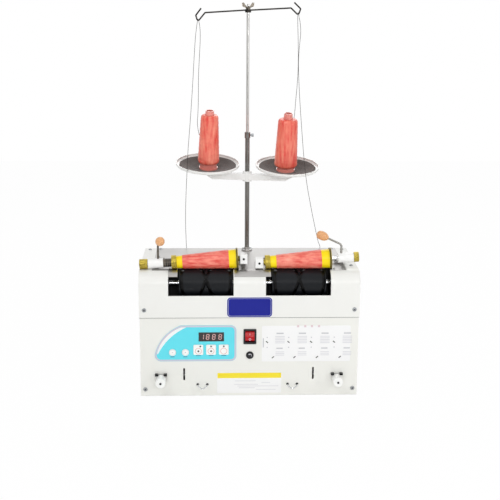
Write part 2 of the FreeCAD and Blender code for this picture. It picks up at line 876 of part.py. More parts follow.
def make_cradle(small_x, hub, block, bore_side, washer):
    """One head's swinging cradle: hub, bearing block with its stub, two links, pivot rod."""
    hub_x = head_point(small_x, (hub[0] + hub[1]) / 2).x
    block_x = head_point(small_x, (block[0] + block[1]) / 2).x
    block_z = spindle_height_at(small_x, block_x)
    half_block = (block[1] - block[0]) / 2
    carrier = box(block_x - half_block, block_x + half_block, drum_y - block_depth / 2,
                  drum_y + block_depth / 2, block_z - block_height / 2,
                  block_z + block_height / 2)
    pieces = [head_rod(small_x, hub, hub_radius), carrier]
    for x in (hub_x, block_x):
        pieces.append(head_arm(x - arm_width / 2, x + arm_width / 2,
                               spindle_height_at(small_x, x)))
    low = min(hub_x, block_x) - arm_width / 2 - pivot_rod_reach
    high = max(hub_x, block_x) + arm_width / 2 + pivot_rod_reach
    pieces.append(rod(V(low, pivot_y, pivot_height), X_AXIS, pivot_radius, high - low))
    if bore_side < 0:
        stub = (tube_length + 1.5, (block[0] + block[1]) / 2)
    else:
        stub = ((block[0] + block[1]) / 2, -4.0)
    pieces.append(head_rod(small_x, stub, spigot_radius))
    if washer:
        pieces.append(head_rod(small_x, (hub[0] - cradle_washer_length, hub[0] + 0.5),
                               cradle_washer_radius))
    cradle = fuse_all(pieces)
    through = (hub[0] - 3, hub[1] + 1)
    cradle = cradle.cut(head_rod(small_x, through, spindle_radius + running_gap))
    if bore_side < 0:
        counterbore = (hub[1] - quill_travel - counterbore_reach, hub[1] + 1)
        cradle = cradle.cut(head_rod(small_x, counterbore, quill_radius + 2 * running_gap))
    stem_x = hub_x + lever_offset(bore_side)
    stem_z = spindle_height_at(small_x, stem_x)
    stem_hole = rod(V(stem_x, drum_y, stem_z + hub_radius - lever_hole_depth), Z_AXIS,
                    lever_radius + running_gap, 6)
    return cradle.cut(stem_hole)


def lever_offset(bore_side):
    """How far the lever's stem stands from the middle of its hub, along X."""
    return left_lever_offset if bore_side < 0 else right_lever_offset


def lever_base(small_x, hub, bore_side):
    """The foot of a lever's stem, in the top of its hub."""
    x = head_point(small_x, (hub[0] + hub[1]) / 2).x + lever_offset(bore_side)
    return V(x, drum_y, spindle_height_at(small_x, x) + hub_radius - lever_seat_depth)


def make_lever(small_x, hub, bore_side, heading):
    """The bent lever: an upright stem, then an arm that rises towards its knob."""
    base = lever_base(small_x, hub, bore_side)
    bend = V(base.x, base.y, lever_bend_height)
    rise = left_lever_rise if bore_side < 0 else right_lever_rise
    length = math.hypot(lever_reach, rise)
    arm = V(heading[0], heading[1], 0).multiply(lever_reach).add(V(0, 0, rise))
    tip = bend.add(arm)
    shortened = bend.add(V(arm).multiply((length - lever_knob_length * 0.02) / length))
    return bent_wire([base, bend, shortened], lever_radius, lever_bend_radius), bend, tip


def make_lever_knob(bend, tip):
    """The egg-shaped wooden knob on the end of a lever's arm."""
    direction = tip.sub(bend)
    direction.normalize()
    start = tip.sub(V(direction).multiply(lever_knob_length * 0.02))
    end = start.add(V(direction).multiply(lever_knob_length))
    side = direction.cross(Z_AXIS)
    side.normalize()
    neck = lever_radius + 1.5
    neck_point = start.add(V(side).multiply(neck))
    belly_point = start.add(V(direction).multiply(lever_knob_length * 0.60)).add(
        V(side).multiply(lever_knob_radius)
    )
    curve = Part.BSplineCurve()
    curve.interpolate(
        Points=[neck_point, belly_point, end],
        InitialTangent=V(direction).multiply(6).add(V(side).multiply(8)),
        FinalTangent=V(side).multiply(-lever_knob_length * 0.7),
    )
    outline = Part.Wire(
        [
            curve.toShape(),
            Part.LineSegment(end, start).toShape(),
            Part.LineSegment(start, neck_point).toShape(),
        ]
    )
    return Part.Face(outline).revolve(start, direction, 360)


def make_quill_left():
    """The left head's sliding quill: sleeve in the hub's counterbore, shaft and front spigot."""
    sleeve_end = -small_flange_length - 1.0
    sleeve = head_rod(left_small_x, (left_hub[1] - 14, sleeve_end), quill_radius)
    shaft = head_rod(left_small_x, (left_knob[0] + 3, sleeve_end), spindle_radius)
    spigot = head_rod(left_small_x, (sleeve_end - 1, -4.0), spigot_radius)
    return fuse_all([sleeve, shaft, spigot])


def make_quill_right():
    """The right head's sliding shaft with its front spigot."""
    shoulder = tube_length + rim_length + 1.0
    shaft = head_rod(right_small_x, (shoulder, right_knob[1] - 3), spindle_radius)
    spigot = head_rod(right_small_x, (tube_length - 3, shoulder + 1), spigot_radius)
    return fuse_all([shaft, spigot])


def make_brass_knob(small_x, span, inner_end):
    """The knurled brass knob on the outer end of a quill's shaft, with its flutes."""
    body = head_rod(small_x, span, knob_radius)
    flute_count = 18
    flute_radius = 0.9
    centre = head_point(small_x, span[0])
    side = V(0, 1, 0)
    up = head_direction.cross(side)
    flutes = []
    for i in range(flute_count):
        angle = 2 * math.pi * i / flute_count
        offset = V(side).multiply(math.cos(angle) * knob_radius)
        offset = offset.add(V(up).multiply(math.sin(angle) * knob_radius))
        flutes.append(rod(centre.add(offset), head_direction, flute_radius, span[1] - span[0]))
    body = body.cut(Part.makeCompound(flutes))
    bore = (span[0] + 3, span[1] + 1) if inner_end > 0 else (span[0] - 1, span[1] - 3)
    return body.cut(head_rod(small_x, bore, spindle_radius + 0.02))


def make_small_adapter(small_x, collar):
    """The brass-coloured cup that centres the small end of the tube."""
    plug_radius = tube_small_radius - tube_wall - plug_clearance
    flange = head_rod(small_x, (-small_flange_length, -0.5), small_flange_radius)
    plug = head_cone(small_x, (-1.0, plug_length), plug_radius, plug_radius - 1.0)
    pieces = [flange, plug]
    if collar:
        pieces.append(head_rod(small_x, (-small_flange_length - 4.0, -small_flange_length + 1),
                               collar_radius))
    adapter = fuse_all(pieces)
    bore = (-small_flange_length - 5.0, -3.5)
    return adapter.cut(head_rod(small_x, bore, spigot_radius + running_gap))


def make_large_adapter(small_x, collar):
    """The dark rim disc that centres the large end of the tube."""
    plug_radius = tube_radius_at(tube_length - plug_length) - tube_wall - plug_clearance
    rim = head_rod(small_x, (tube_length + 0.3, tube_length + rim_length), rim_radius)
    plug = head_rod(small_x, (tube_length - plug_length, tube_length + 1), plug_radius)
    pieces = [rim, plug]
    if collar:
        pieces.append(head_rod(small_x, (tube_length + rim_length - 1,
                                         tube_length + rim_length + 4.5), collar_radius))
    adapter = fuse_all(pieces)
    bore = (tube_length - 3.5 if not collar else tube_length + 1.0, tube_length + rim_length + 6)
    return adapter.cut(head_rod(small_x, bore, spigot_radius + running_gap))


def make_cone_tube(small_x):
    """The yellow plastic tube that the yarn is wound on."""
    outer = head_cone(small_x, (0, tube_length), tube_small_radius, tube_large_radius)
    inner = head_cone(small_x, (0, tube_length), tube_small_radius - tube_wall,
                      tube_large_radius - tube_wall)
    return outer.cut(inner)


def make_cone_yarn(small_x, span):
    """The thin layer of yarn that is wound on a tube."""
    first = tube_radius_at(span[0])
    last = tube_radius_at(span[1])
    outer = head_cone(small_x, span, first + yarn_thickness, last + yarn_thickness)
    inner = head_cone(small_x, span, first + 0.02, last + 0.02)
    return outer.cut(inner)


def make_pivot_brackets():
    """The four blocks on the top plate that carry the two pivot rods."""
    brackets = []
    for small_x, hub, block in (
        (left_small_x, left_hub, left_block),
        (right_small_x, right_hub, right_block),
    ):
        hub_x = head_point(small_x, (hub[0] + hub[1]) / 2).x
        block_x = head_point(small_x, (block[0] + block[1]) / 2).x
        low = min(hub_x, block_x) + arm_width / 2 + 1.0
        high = max(hub_x, block_x) - arm_width / 2 - 1.0 - bracket_width
        for x in (low, high):
            y0 = pivot_y - bracket_depth / 2
            ear = box(x, x + bracket_width, y0, y0 + bracket_depth, plate_top,
                      plate_top + bracket_height)
            hole = rod(V(x - 1, pivot_y, pivot_height), X_AXIS, pivot_radius + running_gap,
                       bracket_width + 2)
            brackets.append(ear.cut(hole))
    return Part.makeCompound(brackets)


# ========================================================= control panel
def overlay_face(y):
    """The control overlay's outline: three round corners and one long sweep."""
    r = overlay_corner
    left, right, low, high = overlay_left, overlay_right, overlay_bottom, overlay_top
    diagonal = r * (1 - math.cos(math.pi / 4))
    sweep_low = V(left + 1.5, y, low + 20)
    sweep_high = V(left + 66, y, high)

    def line(a, b):
        return Part.LineSegment(a, b).toShape()

    def arc(a, b, c):
        return Part.Arc(a, b, c).toShape()

    edges = [
        line(sweep_high, V(right - r, y, high)),
        arc(V(right - r, y, high), V(right - diagonal, y, high - diagonal), V(right, y, high - r)),
        line(V(right, y, high - r), V(right, y, low + r)),
        arc(V(right, y, low + r), V(right - diagonal, y, low + diagonal), V(right - r, y, low)),
        line(V(right - r, y, low), V(left + 17, y, low)),
        arc(V(left + 17, y, low), V(left + 4.5, y, low + 6), sweep_low),
        arc(sweep_low, V(left + 23.5, y, low + 62.5), sweep_high),
    ]
    return Part.Face(Part.Wire(edges))


def round_button(x, z, clearance):
    """A round key cap, or with a clearance the hole for it."""
    start = V(x, panel_face - overlay_thickness - button_proud, z)
    return rod(start, Y_AXIS, round_button_radius + clearance, button_length)


def square_button(x, z, clearance):
    """A square key cap with soft corners, or with a clearance the hole for it."""
    half_width = square_button_width / 2 + clearance
    half_height = square_button_height / 2 + clearance
    start = panel_face - overlay_thickness - button_proud
    return rounded_plate(x - half_width, x + half_width, z - half_height, z + half_height,
                         3 + clearance, start, start + button_length)


def make_control_overlay():
    """The coloured overlay with its display block and the holes of the keys."""
    overlay = overlay_face(panel_face - overlay_thickness).extrude(V(0, overlay_thickness, 0))
    x0, x1, z0, z1 = display_box
    display = box(x0, x1, panel_face - overlay_thickness - 0.3, panel_face + 4, z0, z1)
    overlay = overlay.fuse(display).removeSplitter()
    for x, z in round_button_places:
        overlay = overlay.cut(round_button(x, z, free_gap))
    for x, z in square_button_places:
        overlay = overlay.cut(square_button(x, z, free_gap))
    return overlay


def make_control_board():
    """The circuit board behind the keys, on four posts that reach the front panel."""
    y0 = panel_face + board_setback
    board = box(overlay_left + board_margins[0], overlay_right - board_margins[1], y0,
                y0 + board_thickness, overlay_bottom + board_margins[2],
                overlay_top - board_margins[3])
    pieces = [board]
    for x in (overlay_left + board_post_margins[0], overlay_right - board_post_margins[1]):
        for z in (overlay_bottom + board_post_margins[2], overlay_top - board_post_margins[3]):
            pieces.append(rod(V(x, panel_face + sheet, z), Y_AXIS, board_post_radius,
                              board_setback))
    for x, z in round_button_places + square_button_places:
        pieces.append(rod(V(x, y0 - key_switch_height, z), Y_AXIS, board_post_radius,
                          key_switch_height + board_thickness / 3))
    return fuse_all(pieces)


def rocker_outline(z_middle, y_pivot):
    """The side outline of the rocker key, with its two sloping faces."""
    proud = panel_face - 4.6
    dip = panel_face - 2.2
    reach = rocker_radius - 0.6
    return [
        (y_pivot + 4, z_middle - reach),
        (y_pivot + 4, z_middle + reach),
        (dip - 0.6, z_middle + reach),
        (dip, z_middle),
        (proud, z_middle - reach),
    ]


def make_rocker_bezel():
    """The switch body with its frame."""
    x0, x1, z0, z1 = rocker_box
    wall = 2.3
    z_middle = (z0 + z1) / 2
    y_pivot = panel_face + rocker_setback
    frame = rounded_plate(x0, x1, z0, z1, 1.5, panel_face - 1.8, panel_face)
    body = box(x0 + wall, x1 - wall, panel_face - 0.5, panel_face + 27, z0 + wall, z1 - wall)
    bezel = frame.fuse(body).removeSplitter()
    x_middle = (x0 + x1) / 2
    half = rocker_key_width / 2 + free_gap
    well = rod(V(x_middle - half, y_pivot, z_middle), X_AXIS, rocker_radius + free_gap, 2 * half)
    mouth = box(x_middle - half, x_middle + half, panel_face - 3, y_pivot,
                z_middle - rocker_radius - free_gap, z_middle + rocker_radius + free_gap)
    bezel = bezel.cut(well).cut(mouth)
    pin_hole = rod(V(x0 + wall + 1, y_pivot, z_middle), X_AXIS, 1.5 + running_gap,
                   x1 - x0 - 2 * wall - 2)
    return bezel.cut(pin_hole)


def make_rocker_key():
    """The red rocker on its pin."""
    x0, x1, z0, z1 = rocker_box
    z_middle = (z0 + z1) / 2
    x_middle = (x0 + x1) / 2
    y_pivot = panel_face + rocker_setback
    half = rocker_key_width / 2
    key = prism_x(rocker_outline(z_middle, y_pivot), x_middle - half, x_middle + half)
    round_block = rod(V(x_middle - half, y_pivot, z_middle), X_AXIS, rocker_radius, 2 * half)
    key = key.common(round_block)
    pin = rod(V(x_middle - half - 1.0, y_pivot, z_middle), X_AXIS, 1.5, 2 * half + 2.0)
    return fuse_all([key, pin])


def make_fuse_holder():
    """The fuse holder's flange and barrel."""
    x, z = fuse_place
    flange = rod(V(x, panel_face - 2.0, z), Y_AXIS, fuse_flange_radius, 2.0)
    barrel = rod(V(x, panel_face - 1.0, z), Y_AXIS, 7.5, 36.0)
    holder = flange.fuse(barrel).removeSplitter()
    return holder.cut(rod(V(x, panel_face - 3, z), Y_AXIS, fuse_cap_radius + 0.1, 27))


def make_fuse_cap():
    """The bayonet cap with its screwdriver slot."""
    x, z = fuse_place
    cap = rod(V(x, panel_face - 4.0, z), Y_AXIS, fuse_cap_radius, 26.0)
    slot = box(x - 4.6, x + 4.6, panel_face - 5.0, panel_face - 2.6, z - 0.8, z + 0.8)
    return cap.cut(slot)


def make_badge():
    """The blank coloured badge on the cover."""
    return rounded_plate(badge_box[0], badge_box[1], badge_box[2], badge_box[3], badge_corner,
                         front - label_thickness, front)


def make_label_plates():
    """The setting chart and the notice plate, both without words."""
    plates = []
    for x0, x1, z0, z1 in (chart_box, notice_box):
        plates.append(rounded_plate(x0, x1, z0, z1, label_corner, panel_face - label_thickness,
                                    panel_face))
    return Part.makeCompound(plates)


# ================================================== lower yarn fittings
def make_tension_knob(place):
    """A white tension knob on its stud, with a small screw in its end."""
    x, z = place
    start = panel_face - 4.0
    body = rod(V(x, start - tension_length, z), Y_AXIS, tension_radius, tension_length)
    rims = [e for e in body.Edges if e.Closed and e.CenterOfMass.y < start - 1]
    body = body.makeFillet(3.0, rims)
    dot = rod(V(x, start - tension_length - 0.8, z), Y_AXIS, 2.6, 3)
    stud = rod(V(x, start - 1, z), Y_AXIS, spigot_radius, 14.0)
    return fuse_all([body, dot, stud])


def make_yarn_guides():
    """The black ear plates behind the tension knobs and the bent guide wires."""
    guides = []
    for x, z in tension_places:
        plate = rod(V(x, panel_face - 3.4, z), Y_AXIS, tension_radius - 0.5, 3.4)
        pieces = [plate]
        for side in (-1, 1):
            pieces.append(box(x + side * 11 - 4.0, x + side * 11 + 4.0, panel_face - 9.0,
                              panel_face, z + 9.4, z + 14.4))
        ear = fuse_all(pieces)
        clear = rod(V(x, panel_face - 60, z), Y_AXIS, tension_radius + free_gap, 56.3)
        bore = rod(V(x, panel_face - 10, z), Y_AXIS, spigot_radius + running_gap, 20)
        guides.append(ear.cut(clear).cut(bore))
    half = guide_wire_half_width
    for x, z in guide_wire_places:
        points = [
            V(x - half, panel_face + 4, z),
            V(x - half, panel_face - 11, z - 0.5),
            V(x, panel_face - 16, z - 7),
            V(x + half, panel_face - 11, z - 0.5),
            V(x + half, panel_face + 4, z),
        ]
        guides.append(bent_wire(points, guide_wire_radius, 3.5))
    return Part.makeCompound(guides)


def make_stop_lever(place):
    """The thin feeler in a slot that feels whether the yarn is there, on its pin."""
    x, low, high = place
    middle = (low + high) / 2
    blade = box(x - 1.0, x + 1.0, panel_face - stop_lever_proud,
                panel_face + stop_lever_setback + 8, middle - 1.6, middle + 1.6)
    pin = rod(V(x - slot_width / 2 - 4.2, panel_face + stop_lever_setback, middle), X_AXIS,
              stop_pin_radius, slot_width + 8.4)
    return fuse_all([blade, pin])


# ========================================================== thread stand
def make_stand_base():
    """The round flange that holds the stand's tube on the top plate."""
    base = ring(V(pole_x, pole_y, plate_top), Z_AXIS, stand_base_radius,
                lower_tube_radius + 0.02, stand_base_height)
    collar = ring(V(pole_x, pole_y, plate_top), Z_AXIS, lower_tube_radius + 3.5,
                  lower_tube_radius + 0.02, 16)
    return drill(fuse_all([base, collar]), stand_screw_places())


def make_lower_tube():
    """The lower tube of the stand, with the clamp collar at its top."""
    height = lower_tube_top - plate_top
    tube = rod(V(pole_x, pole_y, plate_top), Z_AXIS, lower_tube_radius, height)
    collar = rod(V(pole_x, pole_y, lower_tube_top - 16), Z_AXIS, lower_tube_radius + 1.6, 16)
    tube = tube.fuse(collar)
    bore = rod(V(pole_x, pole_y, plate_top + 6), Z_AXIS, rod_radius + running_gap, height)
    tube = tube.cut(bore)
    screw_hole_x = rod(V(pole_x, pole_y, lower_tube_top - 8), X_AXIS, 2.0 + running_gap, 12)
    return tube.cut(screw_hole_x)


def make_clamp_screw():
    """The small thumb screw that clamps the upper rod."""
    z = lower_tube_top - 8
    start = pole_x + rod_radius + free_gap
    shank = rod(V(start, pole_y, z), X_AXIS, 2.0, 9)
    head = rod(V(start + 6, pole_y, z), X_AXIS, 4.5, 6)
    return fuse_all([shank, head])


def make_upper_rod():
    """The telescoping upper rod with a threaded end for the wing nut."""
    shoulder = guide_bar_height - rod_shank_drop
    shank = rod(V(pole_x, pole_y, rod_bottom), Z_AXIS, rod_radius, shoulder - rod_bottom)
    neck_top = rod_top + wing_nut_height + 1
    neck = rod(V(pole_x, pole_y, shoulder - 1), Z_AXIS, rod_neck_radius, neck_top - shoulder + 1)
    return fuse_all([shank, neck])


def make_guide_bar():
    """The cross wire on top of the rod, with a hook at each end and a flat washer eye."""
    z = guide_bar_height
    hub = ring(V(pole_x, pole_y, z - guide_hub_height), Z_AXIS, guide_hub_radius,
               rod_neck_radius + running_gap, guide_hub_height + guide_bar_radius)
    pieces = [hub]
    for side, hook in ((-1, left_guide_hook), (1, right_guide_hook)):
        points = [V(pole_x + side * guide_hub_reach, pole_y, z)]
        points += [V(x, pole_y + y, z + rise) for x, y, rise in hook]
        pieces.append(bent_wire(points, guide_bar_radius, guide_hook_bend))
    neck = rod(V(pole_x, pole_y, z - guide_hub_height - 2), Z_AXIS,
               rod_neck_radius + running_gap, 2 * guide_hub_height + 2)
    return fuse_all(pieces).cut(neck)


def make_wing_nut():
    """The wing nut on top of the rod."""
    z = guide_bar_height + guide_bar_radius + 0.2
    body = rod(V(pole_x, pole_y, z), Z_AXIS, wing_nut_radius, wing_nut_height)
    wings = []
    for side in (-1, 1):
        outline = [(pole_x + side * x, z + rise) for x, rise in wing_outline]
        wings.append(prism_y(outline, pole_y - wing_sheet / 2, pole_y + wing_sheet / 2))
    nut = fuse_all([body] + wings)
    return nut.cut(rod(V(pole_x, pole_y, z - 1), Z_AXIS, rod_neck_radius + 0.1,
                       wing_nut_height + 5))


def lean(shape):
    """Give a piece of the spool arm the small roll that the arm has on its tube."""
    shape.rotate(V(pole_x, pole_y, arm_height), Y_AXIS, arm_roll)
    return shape


def make_spool_arm():
    """The folded channel that carries both spool plates, with its clamp and two pegs."""
    top = arm_height
    low = arm_height - arm_channel_depth
    y0 = pole_y - arm_channel_width / 2
    y1 = pole_y + arm_channel_width / 2
    side_outline = [
        (arm_top_reach[0], top),
        (arm_top_reach[1], top),
        (arm_bottom_reach[1], low),
        (arm_bottom_reach[0], low),
    ]
    channel = prism_y(side_outline, y0, y1)
    hollow = prism_y(
        [
            (arm_top_reach[0] + 12, top - arm_sheet),
            (arm_top_reach[1] - 12, top - arm_sheet),
            (arm_bottom_reach[1] + 8, low - 1),
            (arm_bottom_reach[0] - 8, low - 1),
        ],
        y0 + arm_sheet, y1 - arm_sheet,
    )
    clamp = rod(V(pole_x, pole_y, low - 4), Z_AXIS, 12.0, arm_channel_depth + 10)
    pieces = [channel.cut(hollow), clamp]
    for side in (-1, 1):
        centre = V(pole_x + side * plate_offset, pole_y, top)
        stem_height = plate_lift - plate_drop - 2.0
        pieces.append(rod(V(centre.x, centre.y, top - arm_sheet), Z_AXIS, 9.0,
                          stem_height + arm_sheet))
        pieces.append(plate_tilted(side, rod(V(0, 0, -plate_drop - 4), Z_AXIS, 6.0, 4.0)))
        peg_start = V(0, 0, -plate_drop - 1)
        pieces.append(plate_tilted(side, rod(peg_start, Z_AXIS, peg_radius, peg_length)))
    arm = lean(fuse_all(pieces))
    return arm.cut(rod(V(pole_x, pole_y, low - 20), Z_AXIS, lower_tube_radius + 0.02,
                       arm_channel_depth + 60))


def plate_tilted(side, shape):
    """Move a piece made about the origin to one spool plate's place and forward tilt."""
    shape = shape.copy()
    shape.rotate(V(0, 0, 0), X_AXIS, plate_tilt)
    shape.translate(V(pole_x + side * plate_offset, pole_y, arm_height + plate_lift))
    return shape


def turned(profile):
    """A ring with the given (radius, height) outline, turned about Z."""
    points = [V(radius, 0, height) for radius, height in profile]
    face = Part.Face(Part.makePolygon(points + [points[0]]))
    return face.revolve(V(0, 0, 0), Z_AXIS, 360)


def dish_height(radius):
    """The height of the dish's upper face above the plate's rim circle, at a radius."""
    run = plate_slope_radius - plate_flat_radius
    share = min(max((plate_slope_radius - radius) / run, 0.0), 1.0)
    return plate_sheet - plate_drop * share


def make_spool_plates():
    """The two dished plates under the supply cones."""
    inner = plate_radius - plate_sheet
    bore = peg_radius + 0.02
    profile = [
        (bore, -plate_drop),
        (plate_flat_radius, -plate_drop),
        (plate_slope_radius, 0.0),
        (inner, 1.2),
        (plate_radius, 3.0),
        (plate_radius, plate_rim),
        (inner, plate_rim),
        (inner, 4.0),
        (inner - 1.5, 1.2 + plate_sheet),
        (plate_slope_radius, plate_sheet),
        (plate_flat_radius, plate_sheet - plate_drop),
        (bore, plate_sheet - plate_drop),
    ]
    plates = [lean(plate_tilted(side, turned(profile))) for side in (-1, 1)]
    return Part.makeCompound(plates)


def make_spool_pads():
    """The foam pads in the plates."""
    bore = peg_radius + 1.0
    low = [(radius, dish_height(radius)) for radius in (bore, plate_flat_radius, pad_radius)]
    high = [(radius, height + pad_thickness) for radius, height in reversed(low)]
    pads = [lean(plate_tilted(side, turned(low + high))) for side in (-1, 1)]
    return Part.makeCompound(pads)


def supply_start(side_index):
    """Where a supply cone stands on its pad, before tilt and roll."""
    shift = supply_shift[side_index]
    return V(shift[0], shift[1], plate_sheet - plate_drop + pad_thickness)


def make_supply_tubes():
    """The paper cones inside the supply yarn, with their round feet."""
    tubes = []
    for index, side in enumerate((-1, 1)):
        start = supply_start(index)
        length = supply_lengths[index]
        outer = Part.makeCone(supply_bottom_radius, supply_top_radius, length, start, Z_AXIS)
        foot = rod(start, Z_AXIS, supply_bottom_radius + 1.6, supply_foot_height)
        inner = Part.makeCone(supply_bottom_radius - supply_wall, supply_top_radius - supply_wall,
                              length, start, Z_AXIS)
        tubes.append(lean(plate_tilted(side, outer.fuse(foot).cut(inner))))
    return Part.makeCompound(tubes)


def make_supply_yarns():
    """The yarn on the two supply cones."""
    yarns = []
    for index, side in enumerate((-1, 1)):
        low, high = supply_yarn_spans[index]
        bottom, top = supply_yarn_radii[index]
        slope = (supply_top_radius - supply_bottom_radius) / supply_lengths[index]
        start = supply_start(index).add(V(0, 0, low))
        wound = Part.makeCone(bottom, top, high - low, start, Z_AXIS)
        rims = [e for e in wound.Edges if e.Closed]
        wound = wound.makeFillet(3.0, rims)
        core = Part.makeCone(supply_bottom_radius + slope * (low - 1) + 0.02,
                             supply_bottom_radius + slope * (high + 1) + 0.02,
                             high - low + 2, start.sub(V(0, 0, 1)), Z_AXIS)
        yarns.append(lean(plate_tilted(side, wound.cut(core))))
    return Part.makeCompound(yarns)


# ================================================================ threads
LEFT_THREAD = (
    (-126.2, 87.3, 635.5),
    (-131.7, 82.3, 659.3),
    (-129.1, 83.7, 691.3),
    (-127.8, 89.1, 734.8),
    (-127.8, 96.0, 785.1),
    (-125.0, 105.0, 836.0),
    (-122.6, 110.5, 877.0),
    (-122.6, 113.5, 903.0),
    (-124.8, 115.2, 921.0),
    (-127.8, 115.2, 931.7),
    (-128.3, 108.6, 931.7),
    (-130.6, 108.0, 921.0),
    (-132.6, 105.5, 907.0),
    (-134.8, 101.0, 888.0),
    (-137.0, 94.0, 857.0),
    (-139.0, 87.0, 826.0),
    (-141.3, 78.5, 783.0),
    (-144.4, 69.0, 735.0),
    (-148.0, 58.5, 684.0),
    (-152.2, 50.0, 632.0),
    (-155.6, 42.5, 590.0),
    (-157.4, 40.2, 550.0),
    (-159.8, 49.5, 507.0),
    (-162.0, 65.0, 467.0),
    (-163.3, 81.0, 430.0),
    (-164.0, 99.0, 393.0),
    (-163.8, 121.0, 357.0),
    (-163.4, 137.0, 333.0),
    (-163.2, 149.0, 323.0),
    (-163.1, 158.5, 311.0),
    (-163.0, 157.5, 300.0),
    (-163.0, 147.0, 300.0),
)
RIGHT_THREAD = (
    (121.3, 83.0, 679.9),
    (123.0, 81.4, 690.3),
    (125.2, 85.4, 721.8),
    (128.5, 91.4, 755.2),
    (131.5, 98.4, 794.6),
    (132.3, 104.5, 840.0),
    (131.3, 109.0, 885.0),
    (130.3, 113.0, 915.0),
    (129.8, 115.2, 936.0),
    (130.0, 115.2, 949.0),
    (130.5, 108.7, 949.0),
    (133.0, 108.3, 938.0),
    (136.3, 106.5, 922.0),
    (137.8, 102.5, 898.0),
    (134.0, 95.5, 868.0),
    (131.0, 87.0, 828.0),
    (131.8, 78.5, 785.0),
    (134.0, 68.5, 738.0),
    (137.0, 58.5, 690.0),
    (140.4, 48.5, 642.0),
    (143.2, 39.0, 602.0),
    (146.2, 33.0, 568.0),
    (150.5, 34.0, 535.0),
    (157.0, 48.0, 500.0),
    (164.5, 64.0, 468.0),
    (173.0, 82.0, 431.0),
    (182.0, 99.0, 395.0),
    (190.0, 116.0, 363.0),
    (197.0, 131.0, 338.0),
    (203.0, 143.0, 326.5),
    (204.0, 152.0, 319.0),
    (204.2, 158.5, 309.5),
    (204.0, 157.5, 300.0),
    (204.0, 147.0, 300.0),
)


def cord_bend(run_in, run_out, turn):
    """The bend radius of a limp thread at one corner of its route."""
    return 0.45 * min(run_in, run_out) / math.tan(turn / 2)


def make_thread(route, name):
    """A thread as straight runs joined by tangent arcs, with its radii printed."""
    stretch = (guide_bar_height - eyelet_height) / (route_top - route_bottom)
    points = [V(x, y, eyelet_height + (z - route_bottom) * stretch) for x, y, z in route]
    radii = []

    def bend(run_in, run_out, turn):
        radius = cord_bend(run_in, run_out, turn)
        radii.append(round(radius, 1))
        return radius

    path = bent_path(points, bend)
    thread = wire_along(path, thread_radius)
    section = math.pi * thread_radius ** 2
    share = thread.Volume / (section * path.Length)
    print(name, "length", round(path.Length, 1), "volume share", round(share, 4), "radii", radii)
    return thread


def make_rear_eyelets():
    """Two porcelain eyelets on the cover's back, where the threads go into the machine."""
    eyelets = []
    for x in eyelet_places:
        body = ring(V(x, back, eyelet_height), Y_AXIS, eyelet_radius, eyelet_bore,
                    eyelet_standoff)
        eyelets.append(body)
    return Part.makeCompound(eyelets)


# ============================================================ all nodes
def make_screws():
    """Every pan-head screw of the housing, top plate and stand."""
    places = cover_screw_places() + panel_screw_places()
    places = places + plate_screw_places() + stand_screw_places()
    return Part.makeCompound([screw(place, outward) for place, outward in places])


